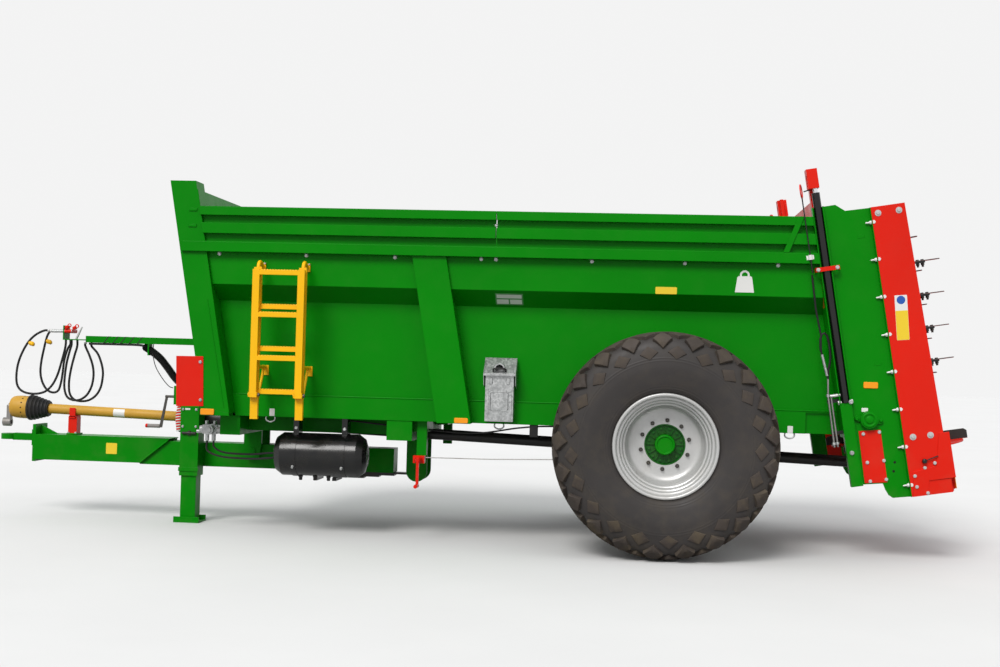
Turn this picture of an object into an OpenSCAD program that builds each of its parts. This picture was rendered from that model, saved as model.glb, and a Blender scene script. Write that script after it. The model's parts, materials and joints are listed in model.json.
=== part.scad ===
// Single-axle manure spreader with vertical beaters, standing on its parking jack.
// Millimetres. +X runs to the rear, +Y to the machine's right side, +Z up.
// The origin lies on the ground under the middle of the whole machine.
// Paired pieces are drawn for the left side (negative Y) and mirrored to the right.

/* [Body] */
// Height of the underside of the longitudinal sills
sill_z = 863; // [840:1:900]
// Height of the sills' outer box
sill_h = 162; // [140:1:180]
// Half the outer width of the narrow lower body
low_y = 780; // [760:1:790]
// Half the outer width of the flared upper body
wide_y = 925; // [900:1:940]
// Thickness of the body's sheets
wall_t = 6; // [4:0.5:8]
// Height at which the side wall starts to flare
flare_z0 = 1705; // [1680:1:1740]
// Height at which the flare ends
flare_z1 = 1818; // [1790:1:1860]
// Height of the upper wall's top edge
wall_z = 2050; // [2000:1:2100]
// Height of the main rail
main_rail_h = 74; // [60:1:90]
// How far the rails stand out from the upper wall
rail_out = 60; // [40:1:70]
// Height of the bolted extension boards above the main rail
board_h = 252; // [200:1:300]
// Lean of the front and middle posts, top to the front, in degrees
post_lean = 10; // [8:0.1:12]
// Width of the front post
front_post_w = 190; // [160:1:220]
// Width of the middle post
mid_post_w = 240; // [200:1:260]
// How far the side posts stand out from the upper wall
post_out = 35; // [20:1:45]
// Height of the front post's top
front_post_z = 2560; // [2500:1:2600]
// Front post's centre at the sills' underside
front_post_x = -1677; // [-1700:1:-1660]
// Middle post's centre at the sills' underside
mid_post_x = 46; // [0:1:80]

/* [Floor] */
// Height of the floor chain's shafts
shaft_z = 981; // [975:1:985]
// Front shaft's place along the machine
front_shaft_x = -1500; // [-1520:1:-1480]
// Radius of the sprockets that carry the chain
sprocket_r = 51.7; // [48:0.1:52]
// Thickness of the chain strands
chain_t = 16; // [14:1:18]
// Distance of each chain strand from the middle
chain_y = 560; // [500:1:600]
// Height of a slat above the chain
slat_h = 30; // [25:1:34]
// Distance between slats
slat_pitch = 350; // [300:1:450]
// Thickness of the floor sheet
floor_t = 8; // [6:1:10]

/* [Rear frame] */
// Lean of the gate, its posts and the beaters, in degrees
rear_lean = 9.3; // [8:0.1:10]
// Gate's middle plane at the sills' underside
gate_x = 2793; // [2780:1:2800]
// Gap between the gate's edge and the upper wall's outer face
gate_gap = 25; // [20:1:45]
// Depth of the gate with its ribs
gate_t = 25; // [20:1:28]
// Length of the gate along its slide
gate_len = 1417; // [1380:1:1420]
// Travel of the gate
gate_stroke = 1200; // [1100:10:1250]
// How far the rear posts stand out from the upper wall
rear_post_out = 60; // [55:1:65]
// How far the beater chamber's panels lie outside the upper wall
chamber_out = 9; // [7:1:11]
// Outer radius of the gate cylinder's barrel
barrel_r = 27.5; // [25:0.5:27.5]
// Radius of the gate cylinder's rod
rod_r = 16; // [14:0.5:18]

/* [Beaters] */
// Distance of each beater's shaft from the middle
beater_y = 455; // [452:1:460]
// Beater shaft's distance behind the gate's plane
beater_u = 472; // [468:1:480]
// Radius over the knives
knife_r = 425; // [400:1:430]
// Radius of the beater's tube
beater_tube_r = 85; // [75:1:95]
// Outer radius of the beater's flight
flight_r = 200; // [180:1:205]
// Advance of the flight in one turn
flight_pitch = 480; // [420:5:520]
// Radius over the spreading disc's paddles
paddle_r = 440; // [430:1:445]

/* [Running gear] */
// Radius over the tyre's tread blocks
tyre_r = 777; // [760:1:790]
// Width of the tyre
tyre_w = 587; // [560:1:600]
// Distance of each wheel's middle from the machine's middle
wheel_y = 1145; // [1140:1:1160]
// Axle's place along the machine
axle_x = 1535; // [1500:1:1560]
// Side of the square axle beam
axle_w = 120; // [100:1:130]
// Tread blocks in one ring
block_count = 21; // [19:1:23]
// Radius of the rim's flange
flange_r = 358; // [350:1:365]
// Width between the rim's flanges
rim_w = 508; // [480:1:520]

/* [Drawbar] */
// Height of the drawbar's top face
drawbar_z = 632; // [620:1:640]
// Height of the drawbar's front section
drawbar_h = 199; // [190:1:210]
// Width of the drawbar's front section
drawbar_w = 220; // [200:1:240]
// Front face of the drawbar's head plate
head_x = -3420; // [-3440:1:-3400]
// Radius of the towing eye's bore
eye_r = 25; // [24:0.5:30]
// Thickness of the towing eye
eye_t = 45; // [40:1:50]
// Jack's middle along the machine
jack_x = -2095; // [-2110:1:-2080]
// Outer side of the jack's square sleeve
jack_w = 145; // [135:1:150]
// Side of the jack's square leg
jack_leg_w = 119; // [110:1:119]
// Radius of the bore in the PTO shaft's front yoke
pto_bore_r = 17.5; // [15:0.5:20]

/* [Hidden] */

GREEN = [0.07, 0.46, 0.09];
RED = [0.86, 0.12, 0.06];
YELLOW = [0.95, 0.68, 0.06];
BLACK = [0.06, 0.06, 0.065];
STEEL = [0.72, 0.73, 0.74];

seat = 0.3;                          // gap left between pieces that rest on each other
run = 5;                             // clearance beside a moving piece
sill_top = sill_z + sill_h;
floor_top = shaft_z + sprocket_r;
chain_in_r = sprocket_r + seat;
chain_out_r = chain_in_r + chain_t;
main_rail_z1 = wall_z + main_rail_h;
board_z1 = main_rail_z1 + board_h;
rail_y = wide_y + rail_out;
post_y = wide_y + post_out;          // half the width over the side posts
gate_y = wide_y - gate_gap;          // half the width of the gate
rear_post_y = wide_y + rear_post_out;
chamber_y = wide_y + chamber_out;    // half the inner width of the beater chamber
chamber_rear_x = gate_x + 77;        // rear end of the sills and the floor
block_pitch = 360 / block_count;
spindle_r = 45;                      // radius of the axle's spindles
block_half = 5;                      // half the angle that a tread block covers
axle_z = tyre_r * cos(block_pitch / 2 - block_half);
rear_shaft_u = 159;                  // rear floor shaft, from the gate's plane
rear_shaft_w = 93.5;
shaft_r = 30;                        // floor shafts' radius
barrel_y = rear_post_y - 25;         // gate cylinders' distance from the middle
barrel_u = 18;
rod_eye_w = 1776;                    // height of the rod's eye along the posts
rod_foot_w = rod_eye_w - 1471;       // rod's lower end inside the barrel
pivot_w = rod_foot_w - 70;           // height of the cylinder's foot along the posts
gate_w0 = 232;                       // gate's lower edge along the posts
post_w0 = -350;                      // rear post's ends along its length
post_w1 = 1600;
post_u0 = -25;
post_u1 = 55;
housing_u = 372;                     // red beater housing's front edge
yoke_z = 716;                        // middle of the PTO shaft's front yoke
drawbar_rear_w = drawbar_w - 40;     // width of the drawbar's rear section
frame_x0 = -1700;                    // front face of the frame under the body
drive_x0 = -2050;                    // front face of the input gearbox
jack_y = -drawbar_w / 2 - 12 - jack_w / 2;
screw_r = 12;                        // jack's screw
gate_pin_r = 10;                     // pin through the rod's eye
hinge_z = 1030;                      // ladder hinge
ladder_y = -wide_y - 135;            // middle of the ladder's upper section
ladder_fold_y = ladder_y - 46;       // middle of the folded section

// Draws its children on the left, or mirrored on the right
module on_side(side) {
    if (side < 0) children();
    else mirror([0, 1, 0]) children();
}

// Extrudes a side view, drawn in X and Z, from y0 to y1
module xz(y0, y1) {
    translate([0, y1, 0]) rotate([90, 0, 0]) linear_extrude(y1 - y0) children();
}

// Extrudes a cross-section, drawn in Y and Z, from x0 to x1
module yz(x0, x1) {
    translate([x0, 0, 0]) rotate([90, 0, 90]) linear_extrude(x1 - x0) children();
}

// A block between two corners
module block(a, b) {
    translate(a) cube(b - a);
}

// A round bar along Y
module bar_y(x, z, r, y0, y1) {
    translate([x, y0, z]) rotate([-90, 0, 0]) cylinder(r = r, h = y1 - y0, $fn = 40);
}

// A round bar along X
module bar_x(y, z, r, x0, x1) {
    translate([x0, y, z]) rotate([0, 90, 0]) cylinder(r = r, h = x1 - x0, $fn = 40);
}

// The leaning frame of the gate and the beaters: X from the gate's plane, Z along the gate
module rear() {
    translate([gate_x, 0, sill_z]) rotate([0, -rear_lean, 0]) children();
}

function front_lean_x(x, z) = x - (z - sill_z) * tan(post_lean);
function rear_x(u, w) = gate_x + u * cos(rear_lean) - w * sin(rear_lean);
function rear_z(u, w) = sill_z + u * sin(rear_lean) + w * cos(rear_lean);
// X of a plane that leans with the gate, u behind it, at height z
function rear_plane_x(u, z) = gate_x + u / cos(rear_lean) - (z - sill_z) * tan(rear_lean);

rear_shaft_x = rear_x(rear_shaft_u, rear_shaft_w);

// Drawbar

module drawbar() {
    joint_x0 = -2545;
    joint_x1 = -2300;
    rear_x1 = -520;
    z0 = drawbar_z - drawbar_h;
    pin_x = -1630;
    color(GREEN) {
        block([head_x, -drawbar_w / 2, 417], [head_x + 25, drawbar_w / 2, 710]);
        xz(-drawbar_w / 2, drawbar_w / 2)
            polygon([[head_x + 25, z0], [joint_x0, z0], [joint_x1, drawbar_z], [head_x + 25, drawbar_z]]);
        xz(-6, 6) polygon([[head_x + 25, drawbar_z], [head_x + 170, drawbar_z], [head_x + 25, 700]]);
        difference() {
            block([joint_x0, -drawbar_rear_w / 2, z0 - 10], [rear_x1, drawbar_rear_w / 2, drawbar_z - 22]);
            bar_y(pin_x, 560, 25.5, -drawbar_w, drawbar_w);
        }
    }
}

module towing_eye() {
    eye_x = head_x - 244;
    color(STEEL) difference() {
        union() {
            translate([eye_x, 0, 580]) cylinder(r = 60, h = eye_t, $fn = 48);
            block([eye_x + 45, -32, 575], [head_x - seat - 20, 32, 580 + eye_t + 5]);
            block([head_x - 20 - seat, -80, 540], [head_x - seat, 80, 665]);
        }
        translate([eye_x, 0, 570]) cylinder(r = eye_r, h = eye_t + 20, $fn = 48);
    }
}

module leaf_spring() {
    leaf_t = 13;
    top_z = drawbar_z - drawbar_h - 10 - seat;
    eye_x = -337;
    clamp_x = [-1130, -980];
    color(BLACK) {
        for (i = [0:3])
            block([-1180 + i * 45, -50, top_z - (i + 1) * leaf_t], [-400 - i * 120, 50, top_z - i * leaf_t]);
        difference() {
            union() {
                block([-410, -50, top_z - leaf_t], [eye_x, 50, top_z]);
                bar_y(eye_x, top_z + 21, 34, -50, 50);
            }
            bar_y(eye_x, top_z + 21, 21, -60, 60);
        }
        for (x = clamp_x) {
            for (side = [-1, 1])
                block([x - 12, side > 0 ? 90 + seat : -114, 360], [x + 12, side > 0 ? 114 : -90 - seat, drawbar_z - 5]);
            block([x - 12, -114, drawbar_z - 22 + seat], [x + 12, 114, drawbar_z]);
            block([x - 16, -114, 346], [x + 16, 114, 370 + seat]);
        }
    }
}

// Frame under the front half, with the hangers that carry the drawbar
module front_frame() {
    x0 = frame_x0;
    x1 = -274;
    z0 = 745;
    z1 = sill_z - seat;
    beam_y = [430, 530];
    hanger_z = 730;
    pin_x = -1630;
    eye_x = -337;
    eye_z = drawbar_z - drawbar_h - 10 - seat + 21;
    color(GREEN) {
        for (side = [-1, 1]) on_side(side) {
            block([x0, -beam_y[1], z0], [x1, -beam_y[0], z1]);
            block([-460, -low_y - 15, 719], [x1, -beam_y[1], z1]);
            block([-245, -low_y + 40, 614], [-173, -low_y + 80, z1]);
            block([x1, -low_y + 80, z1 - 80], [-173, -beam_y[0], z1]);
            xz(-132, -112) polygon([[-1700, hanger_z], [-1700, 600], [-1680, 500], [-1580, 500], [-1560, 600], [-1560, hanger_z]]);
            xz(-115, -95) union() {
                translate([eye_x, eye_z]) circle(r = 80, $fn = 48);
                polygon([[eye_x - 80, eye_z], [eye_x - 80, hanger_z], [eye_x + 80, hanger_z], [eye_x + 80, eye_z]]);
            }
        }
        // Cross beams, notched over the drive line
        difference() {
            union() {
                block([x0, -low_y, 720], [-1551, low_y, z1]);
                block([-430, -beam_y[0], 720], [x1, beam_y[0], z1]);
            }
            block([x0 - 1, -60, 700], [-1550, 60, 832]);
            block([-431, -60, 700], [x1 + 1, 60, 796]);
        }
        bar_y(pin_x, 560, 25, -140, 140);
        bar_y(eye_x, eye_z, 20, -120, 120);
    }
}

// Body frame: sills and cross members, between the runs of the floor chain
module chassis() {
    rail_in = 700;
    member_w = 70;
    member_z0 = shaft_z - chain_in_r + 16;
    proud_end = gate_x - 268;
    member_x = concat([for (x = [-1360:700:proud_end - member_w]) x], [chamber_rear_x - member_w - 35]);
    color(GREEN) {
        for (side = [-1, 1]) on_side(side) {
            xz(-low_y - 20, -rail_in) polygon([
                [front_lean_x(front_post_x + front_post_w / 2, sill_z), sill_z], [proud_end, sill_z],
                [proud_end, floor_top - floor_t],
                [front_lean_x(front_post_x + front_post_w / 2, floor_top - floor_t), floor_top - floor_t]]);
            block([proud_end, -low_y + wall_t, sill_z], [chamber_rear_x, -rail_in, floor_top - floor_t]);
        }
        for (x = member_x)
            block([x, -rail_in + seat, member_z0], [x + member_w, rail_in - seat, floor_top - floor_t]);
    }
}

module floor() {
    color([0.35, 0.37, 0.35])
        difference() {
            block([front_lean_x(front_post_x + front_post_w / 2, floor_top) + 12, -low_y + wall_t + seat,
                floor_top - floor_t], [chamber_rear_x, low_y - wall_t - seat, floor_top]);
            for (y = [-chain_y, chain_y])
                block([front_shaft_x - 80, y - 20, floor_top - floor_t - 1], [front_shaft_x + 40, y + 20, floor_top + 1]);
        }
}

// Floor chain: two strands, each of two straight runs and a half turn round each shaft, and the slats
module floor_chain() {
    strand_w = 24;
    slat_w = 50;
    slat_y = 690;
    slat_z = chain_out_r + seat;
    color([0.30, 0.29, 0.28]) {
        for (y = [-chain_y, chain_y]) {
            for (z = [shaft_z + chain_in_r, shaft_z - chain_out_r])
                block([front_shaft_x + seat, y - strand_w / 2, z], [rear_shaft_x - seat, y + strand_w / 2, z + chain_t]);
            for (end = [[front_shaft_x, 90], [rear_shaft_x, -90]])
                translate([end[0], y, shaft_z]) rotate([90, 0, 0]) rotate_extrude(start = end[1], angle = 180, $fn = 64)
                    translate([chain_in_r, -strand_w / 2]) square([chain_t, strand_w]);
        }
        for (x = [front_shaft_x + 60:slat_pitch:rear_shaft_x - slat_w], z = [slat_z, -slat_z - slat_h])
            block([x, -slat_y, shaft_z + z], [x + slat_w, slat_y, shaft_z + z + slat_h]);
    }
}

module floor_shafts() {
    color(STEEL) {
        bar_y(front_shaft_x, shaft_z, shaft_r, -700 + seat, 700 - seat);
        bar_y(rear_shaft_x, shaft_z, shaft_r, -chamber_y - 30, chamber_y + 30);
        for (x = [front_shaft_x, rear_shaft_x], y = [-chain_y, chain_y])
            bar_y(x, shaft_z, sprocket_r, y - 14, y + 14);
    }
}

// Bearing housings outside the panels, and the right side's drive gearbox and motor
module floor_drive() {
    color(GREEN) {
        for (side = [-1, 1]) on_side(side) difference() {
            union() {
                bar_y(rear_shaft_x, shaft_z, 60, -chamber_y - 50, -chamber_y - 6 - seat);
                xz(-chamber_y - 22, -chamber_y - 6 - seat) hull() {
                    translate([rear_shaft_x - 78, shaft_z + 7]) circle(r = 20, $fn = 24);
                    translate([rear_shaft_x + 78, shaft_z - 7]) circle(r = 20, $fn = 24);
                }
            }
            bar_y(rear_shaft_x, shaft_z, shaft_r + seat, -chamber_y - 30 - seat, -chamber_y);
        }
        bar_y(rear_shaft_x, shaft_z, 85, chamber_y + 50, chamber_y + 110);
    }
    color(BLACK) bar_y(rear_shaft_x, shaft_z, 55, chamber_y + 110, chamber_y + 190);
}

// Body walls

// Side wall's section: sheet from the floor up, flared above the wheel
function wall_section() = [
    [-low_y, floor_top - floor_t], [-low_y, flare_z0], [-wide_y, flare_z1], [-wide_y, wall_z],
    [-wide_y + wall_t, wall_z], [-wide_y + wall_t, flare_z1 + wall_t * 0.6],
    [-low_y + wall_t, flare_z0 + wall_t * 0.6], [-low_y + wall_t, floor_top - floor_t]];

module side_walls() {
    for (side = [-1, 1]) side_wall(side);
}

module side_wall(side) {
    z0 = floor_top - floor_t;
    edge = front_post_x + front_post_w / 2 + seat;
    color(GREEN) on_side(side) intersection() {
        yz(-2200, chamber_rear_x) polygon(wall_section());
        xz(-wide_y - 1, -low_y + wall_t + 1) polygon([
            [front_lean_x(edge, z0), z0], [rear_plane_x(post_u0 - seat, z0), z0],
            [rear_plane_x(post_u0 - seat, wall_z), wall_z], [front_lean_x(edge, wall_z), wall_z]]);
    }
}

// Leaning post, outside the wall, from the sill to the main rail
module mid_post() {
    half = mid_post_w / 2;
    intersection() {
        yz(mid_post_x - 700, mid_post_x + 400) polygon([
            [-post_y, sill_z], [-low_y - 20 - seat, sill_z], [-low_y - 20 - seat, sill_top],
            [-low_y - seat, sill_top], [-low_y - seat, flare_z0 - seat], [-wide_y - seat, flare_z1 - seat],
            [-wide_y - seat, wall_z - seat], [-post_y, wall_z - seat]]);
        xz(-post_y - 1, -low_y + 1) polygon([
            [mid_post_x - half, sill_z], [mid_post_x + half, sill_z],
            [front_lean_x(mid_post_x + half, wall_z), wall_z], [front_lean_x(mid_post_x - half, wall_z), wall_z]]);
    }
}

module front_post() {
    half = front_post_w / 2;
    z_bottom = 885;
    xz(-post_y, -low_y + wall_t) polygon([
        [front_lean_x(front_post_x - half, 930), 930], [front_lean_x(front_post_x + half, z_bottom), z_bottom],
        [front_lean_x(front_post_x + half, front_post_z), front_post_z],
        [front_lean_x(front_post_x - half, front_post_z), front_post_z]]);
}

// Posts with the main rail that ties them
module posts() {
    for (side = [-1, 1]) post_row(side);
}

module post_row(side) {
    rear_end = rear_plane_x(post_u0 - seat, wall_z + main_rail_h / 2);
    edge = front_post_x + front_post_w / 2;
    color(GREEN) on_side(side) {
        front_post();
        mid_post();
        xz(-rail_y, -wide_y + wall_t) polygon([
            [front_lean_x(edge, wall_z), wall_z], [rear_plane_x(post_u0 - seat, wall_z), wall_z],
            [rear_plane_x(post_u0 - seat, main_rail_z1), main_rail_z1],
            [front_lean_x(edge, main_rail_z1), main_rail_z1]]);
        block([-1968, -rail_y, wall_z], [-1700, -post_y, main_rail_z1]);
    }
}

// Extension boards: two panels with a bottom and a top rail, and an end brace at the rear
module extension_boards() {
    for (side = [-1, 1]) extension(side);
}

module extension(side) {
    split = [312, 318];
    z0 = main_rail_z1 + seat;
    low_rail = [z0 + 58, z0 + 133];
    top_rail = [board_z1 - 62, board_z1];
    edge = front_post_x + front_post_w / 2 + seat;
    ends = [[-2200, split[0]], [split[1], chamber_rear_x]];
    brace_x = gate_x - 471;
    brace_w = 40;
    color(GREEN) on_side(side) for (span = ends) intersection() {
        union() {
            block([span[0], -wide_y - 8, z0], [span[1], -wide_y + wall_t, board_z1]);
            block([span[0], -rail_y + 5, low_rail[0]], [span[1], -wide_y, low_rail[1]]);
            block([span[0], -rail_y + 5, top_rail[0]], [span[1], -wide_y, top_rail[1]]);
        }
        xz(-rail_y - 1, 0) polygon([
            [front_lean_x(edge, z0), z0], [rear_plane_x(post_u0 - seat, z0), z0],
            [rear_plane_x(post_u0 - seat, board_z1), board_z1], [front_lean_x(edge, board_z1), board_z1]]);
    }
    color(GREEN) on_side(side) xz(-rail_y - 2, -rail_y + 5) polygon([
        [brace_x, z0], [brace_x + brace_w, z0], [brace_x + 100 + brace_w, board_z1], [brace_x + 100, board_z1]]);
}

// Front wall between the posts, with folded ribs on its outside
module front_wall() {
    top_z = 2500;
    edge = front_post_x + front_post_w / 2;
    inner = low_y - wall_t - seat;
    z0 = floor_top + seat;
    ribs = [[1045, 1125], [1500, 1580], [1960, 2040], [2420, 2500]];
    color(GREEN) {
        xz(-inner, inner) polygon([
            [front_lean_x(edge, z0), z0], [front_lean_x(edge, top_z), top_z],
            [front_lean_x(edge - wall_t, top_z), top_z], [front_lean_x(edge - wall_t, z0), z0]]);
        for (r = ribs)
            xz(-inner, inner) polygon([
                [front_lean_x(edge - wall_t, r[0]), r[0]], [front_lean_x(edge - wall_t, r[1]), r[1]],
                [front_lean_x(edge - 70, r[1]), r[1]], [front_lean_x(edge - 70, r[0]), r[0]]]);
        for (y = [-360, 0, 360])
            xz(y - 40, y + 40) polygon([
                [front_lean_x(edge - wall_t, sill_z), sill_z], [front_lean_x(edge - wall_t, top_z), top_z],
                [front_lean_x(edge - 110, top_z), top_z], [front_lean_x(edge - 110, sill_z), sill_z]]);
        block([frame_x0 - 20, -low_y + wall_t + seat, sill_z], [frame_x0 + 90, low_y - wall_t - seat, sill_z + 120]);
    }
}

// Axle and wheels

module axle() {
    half = axle_w / 2;
    color(BLACK) {
        block([axle_x - half, -860, axle_z - half], [axle_x + half, 860, axle_z + half]);
        for (side = [-1, 1]) on_side(side) {
            bar_y(axle_x, axle_z, spindle_r, -wheel_y + 20, -860);
            bar_y(axle_x, axle_z, 205, -915, -900);
            block([axle_x - 140, -790, axle_z + half], [axle_x + 140, -700, sill_z - seat]);
            block([axle_x - 20, -560, 640], [axle_x + 20, -540, axle_z - half]);
        }
    }
}

function tyre_half() = [
    [239.6, 333.6], [241.5, 358.6], [262, 376], [279, 425], [290, 490], [292.8, 545], [288, 600], [277, 650],
    [262, 695], [236, 722], [200, 735], [120, 746], [0, 751.5]];
tyre_liner = [[345, 228], [420, 262], [560, 276], [690, 250], [728, 120], [730, 0]];
// Flat blocks' rows: distance from the middle, radius under the block, slope of its face in degrees,
// half its length across, half the angle it covers, its height and its turn as a share of the pitch
tread_rows = [
    [0, 751.5, 0, 60, block_half, 22.5, 0.5],
    [86, 748, 3, 62, block_half, 24, 0],
    [168, 739, 8, 60, block_half, 25, 0.5],
    [271, 652, 74, 36, 4.6, 16, 0.5]
];
// Shoulder blocks' ridge, where each one bends from the tread to the side wall, and its two tips
shoulder_tips = [[204, 757.5], [272, 729], [289, 668]];

module tyre(side) {
    points = [for (p = tyre_half()) [p[1], -p[0]]];
    count = len(points);
    liner_count = len(tyre_liner);
    section = concat(points, [for (i = [count - 2:-1:0]) [points[i][0], -points[i][1]]], tyre_liner,
        [for (i = [liner_count - 2:-1:0]) [tyre_liner[i][0], -tyre_liner[i][1]]]);
    color([0.09, 0.085, 0.08]) translate([axle_x, side * wheel_y, axle_z]) rotate([90, 0, 0]) {
        rotate_extrude($fn = 96) polygon(section);
        for (i = [0:block_count - 1]) rotate([0, 0, i * block_pitch - 90]) {
            for (row = tread_rows, face = row[0] == 0 ? [1] : [-1, 1]) tread_block(row, face);
            for (face = [-1, 1]) shoulder_block(face);
        }
    }
}

// Rhombic block with a flat face, standing in the carcass
module tread_block(row, face) {
    root = 12;
    half_w = tyre_r * sin(row[4]);
    height = row[5] + root;
    rotate([0, 0, row[6] * block_pitch]) translate([row[1], 0, face * row[0]]) rotate([0, face * row[2], 0])
        translate([-root, 0, 0]) rotate([0, 90, 0]) linear_extrude(height)
            polygon([[-row[3], 0], [0, -half_w], [row[3], 0], [0, half_w]]);
}

// Block that bends over the shoulder: a pointed plate on the tread joined to a pointed plate on the side wall
module shoulder_block(face) {
    a = shoulder_tips[0];
    b = shoulder_tips[1];
    c = shoulder_tips[2];
    depth = 30;
    half_w = tyre_r * sin(block_half) * 0.98;
    inward = [-0.72, -0.69] * depth;
    line = [[a[0], a[1], 0], [b[0], b[1], -half_w], [c[0], c[1], 0], [b[0], b[1], half_w]];
    upper = [for (p = line) [p[1], p[2], face * p[0]]];
    lower = [for (p = line) [p[1] + inward[1], p[2], face * (p[0] + inward[0])]];
    flat = [[0, 1, 3], [1, 2, 3], [7, 5, 4], [7, 6, 5]];
    walls = [for (i = [0:3]) let(j = (i + 1) % 4) [i, i + 4, j + 4, j]];
    faces = concat(flat, [for (w = walls) [w[0], w[1], w[2]]], [for (w = walls) [w[0], w[2], w[3]]]);
    polyhedron(concat(upper, lower), face > 0 ? faces : [for (f = faces) [f[2], f[1], f[0]]]);
}

// Rim with stepped flanges, drop centre and dished disc, at y across from the wheel's middle, outboard first
module rim(side) {
    half = rim_w / 2;
    outboard = [[0, 10], [1.2, 4], [5.5, 0.4], [13, -0.2], [20.5, 2.5], [25, 9.5], [28, 26], [33, 31.5], [40.5, 32.5],
        [46.5, 36.5], [49, 45], [50.5, 58], [54, 65], [61, 67.5], [66.5, 73], [68.5, 84], [70, 98], [73.5, 105],
        [81, 108], [86.5, 114], [88.5, 126], [89.5, 169]];
    disc = [[262, -54], [243, -32.5], [212, -22.5], [140.8, -21.5], [140.8, 0], [240, 0], [290, -30]];
    back = [[296, 20], [322, half - 138], [325, half - 12], [350, half - 4], [350, half], [flange_r, half],
        [flange_r, half - 12], [333, half - 14], [330, half - 130], [304, 20], [304, -159], [330, 60 - half],
        [333, 14 - half], [345, 12 - half]];
    color(STEEL) translate([axle_x, side * wheel_y, axle_z]) rotate([90 * side, 0, 0])
        rotate_extrude($fn = 96)
            polygon(concat([for (p = outboard) [flange_r - p[0], p[1] - half]], disc, back));
}

// Hub with a ribbed recess round its cap, wheel flange and brake drum
module hub(side) {
    rib_count = 12;
    color(GREEN) translate([axle_x, side * wheel_y, axle_z]) rotate([90 * side, 0, 0]) {
        rotate_extrude($fn = 64) polygon([
            [0, -62.5], [50, -63], [53.5, -68.5], [59.5, -71.2], [65.5, -69], [69, -61], [71.2, 1], [128, 1],
            [132, -20.5], [140.5, -20.5], [140.5, seat], [195, seat], [195, 20], [110, 26], [110, 60], [190, 64],
            [200, 72], [200, 215], [188, 215], [188, 78], [spindle_r + seat, 78], [spindle_r + seat, 15], [0, 15]]);
        for (i = [0:rib_count - 1]) rotate([0, 0, i * 360 / rib_count])
            block([70, -3.5, -13], [126, 3.5, 5]);
    }
}

// Jack, ladder and the pieces that hang on the body

module jack_sleeve() {
    half = jack_w / 2;
    bore = jack_leg_w / 2 + run;
    y = jack_y;
    color(GREEN) {
        difference() {
            block([jack_x - half, y - half, 360], [jack_x + half, y + half, 905]);
            block([jack_x - bore, y - bore, 350], [jack_x + bore, y + bore, 895]);
        }
        translate([jack_x, y, 560]) cylinder(r = screw_r, h = 340, $fn = 32);
        block([jack_x - half, y + half, 450], [jack_x + half, -drawbar_rear_w / 2 - seat, drawbar_z - 22]);
        block([jack_x - half - 75, y - 30, 905], [jack_x + 40, y + 30, 1050]);
        block([jack_x - half - 6, y - half - 6, 395], [jack_x + half + 6, y - half, 425]);
    }
}

module jack_crank() {
    face = jack_x - jack_w / 2 - 75 - seat;
    z = 965;
    reach = 118;
    color(STEEL) {
        bar_x(jack_y, z, 10, face - 75, face);
        xz(jack_y - 6, jack_y + 6)
            polygon([[face - 75, z + 10], [face - 75, z - 15], [face - reach, 722], [face - reach + 22, 722], [face - 53, z + 10]]);
        bar_x(jack_y, 733, 14, face - 225, face - reach);
    }
}

module jack_leg() {
    half = jack_leg_w / 2;
    foot = 100;
    color(GREEN) {
        difference() {
            block([jack_x - half, jack_y - half, 10], [jack_x + half, jack_y + half, 590]);
            translate([jack_x, jack_y, 240]) cylinder(r = screw_r + seat, h = 400, $fn = 32);
        }
        block([jack_x - foot, jack_y - 95, 0], [jack_x + foot, jack_y + 95, 12]);
        for (side = [-1, 1])
            block([jack_x - foot, jack_y + side * 88 - 6, 12], [jack_x + foot, jack_y + side * 88 + 6, 45]);
    }
}

// Ladder: rails at these places along the machine, rungs at these heights
ladder_rails = [-1372, -1046];
fixed_rungs = [1050, 1355, 1655];
fold_rungs = [1290, 1598, 1898];
fold_rail_w = 50;
hinge_pin_r = 8;

hook_z = 1935;
hook_bend = 42;
pipe_r = 13;

// Pipe bent over from the rail's top to a plate on the upper wall
module top_hook(x) {
    turn = 110;
    plate_t = 12;
    step = 0.6;
    end = [ladder_y + hook_bend - hook_bend * cos(turn), hook_z + hook_bend * sin(turn)];
    reach = (-wide_y - seat - plate_t / 2 - end[0]) / sin(turn);
    plate_z = end[1] + reach * cos(turn);
    translate([x, ladder_y + hook_bend, hook_z]) rotate([90, 0, 90])
        rotate_extrude(start = 180 - turn, angle = turn, $fn = 48) translate([hook_bend, 0]) circle(r = pipe_r, $fn = 32);
    translate([x, end[0], end[1]]) rotate([-turn, 0, 0]) translate([0, 0, -1])
        cylinder(r = pipe_r - step, h = reach + 1, $fn = 32);
    block([x - 20, -wide_y - seat - plate_t, plate_z - 30], [x + 20, -wide_y - seat, plate_z + 30]);
}

// Pipe from the rail to the lower wall, braced down to the rail's foot
module stand_off(x) {
    z = 1225;
    foot = [ladder_y + 10, 880];
    head = [-low_y - 50, z];
    length = norm(head - foot);
    bar_y(x, z, pipe_r, ladder_y, -low_y - seat);
    block([x - 24, -low_y - seat - 6, z - 60], [x + 24, -low_y - seat, z + pipe_r]);
    translate([x, foot[0], foot[1]]) rotate([-atan2(head[0] - foot[0], head[1] - foot[1]), 0, 0])
        cylinder(r = pipe_r - 3, h = length, $fn = 32);
}

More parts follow.
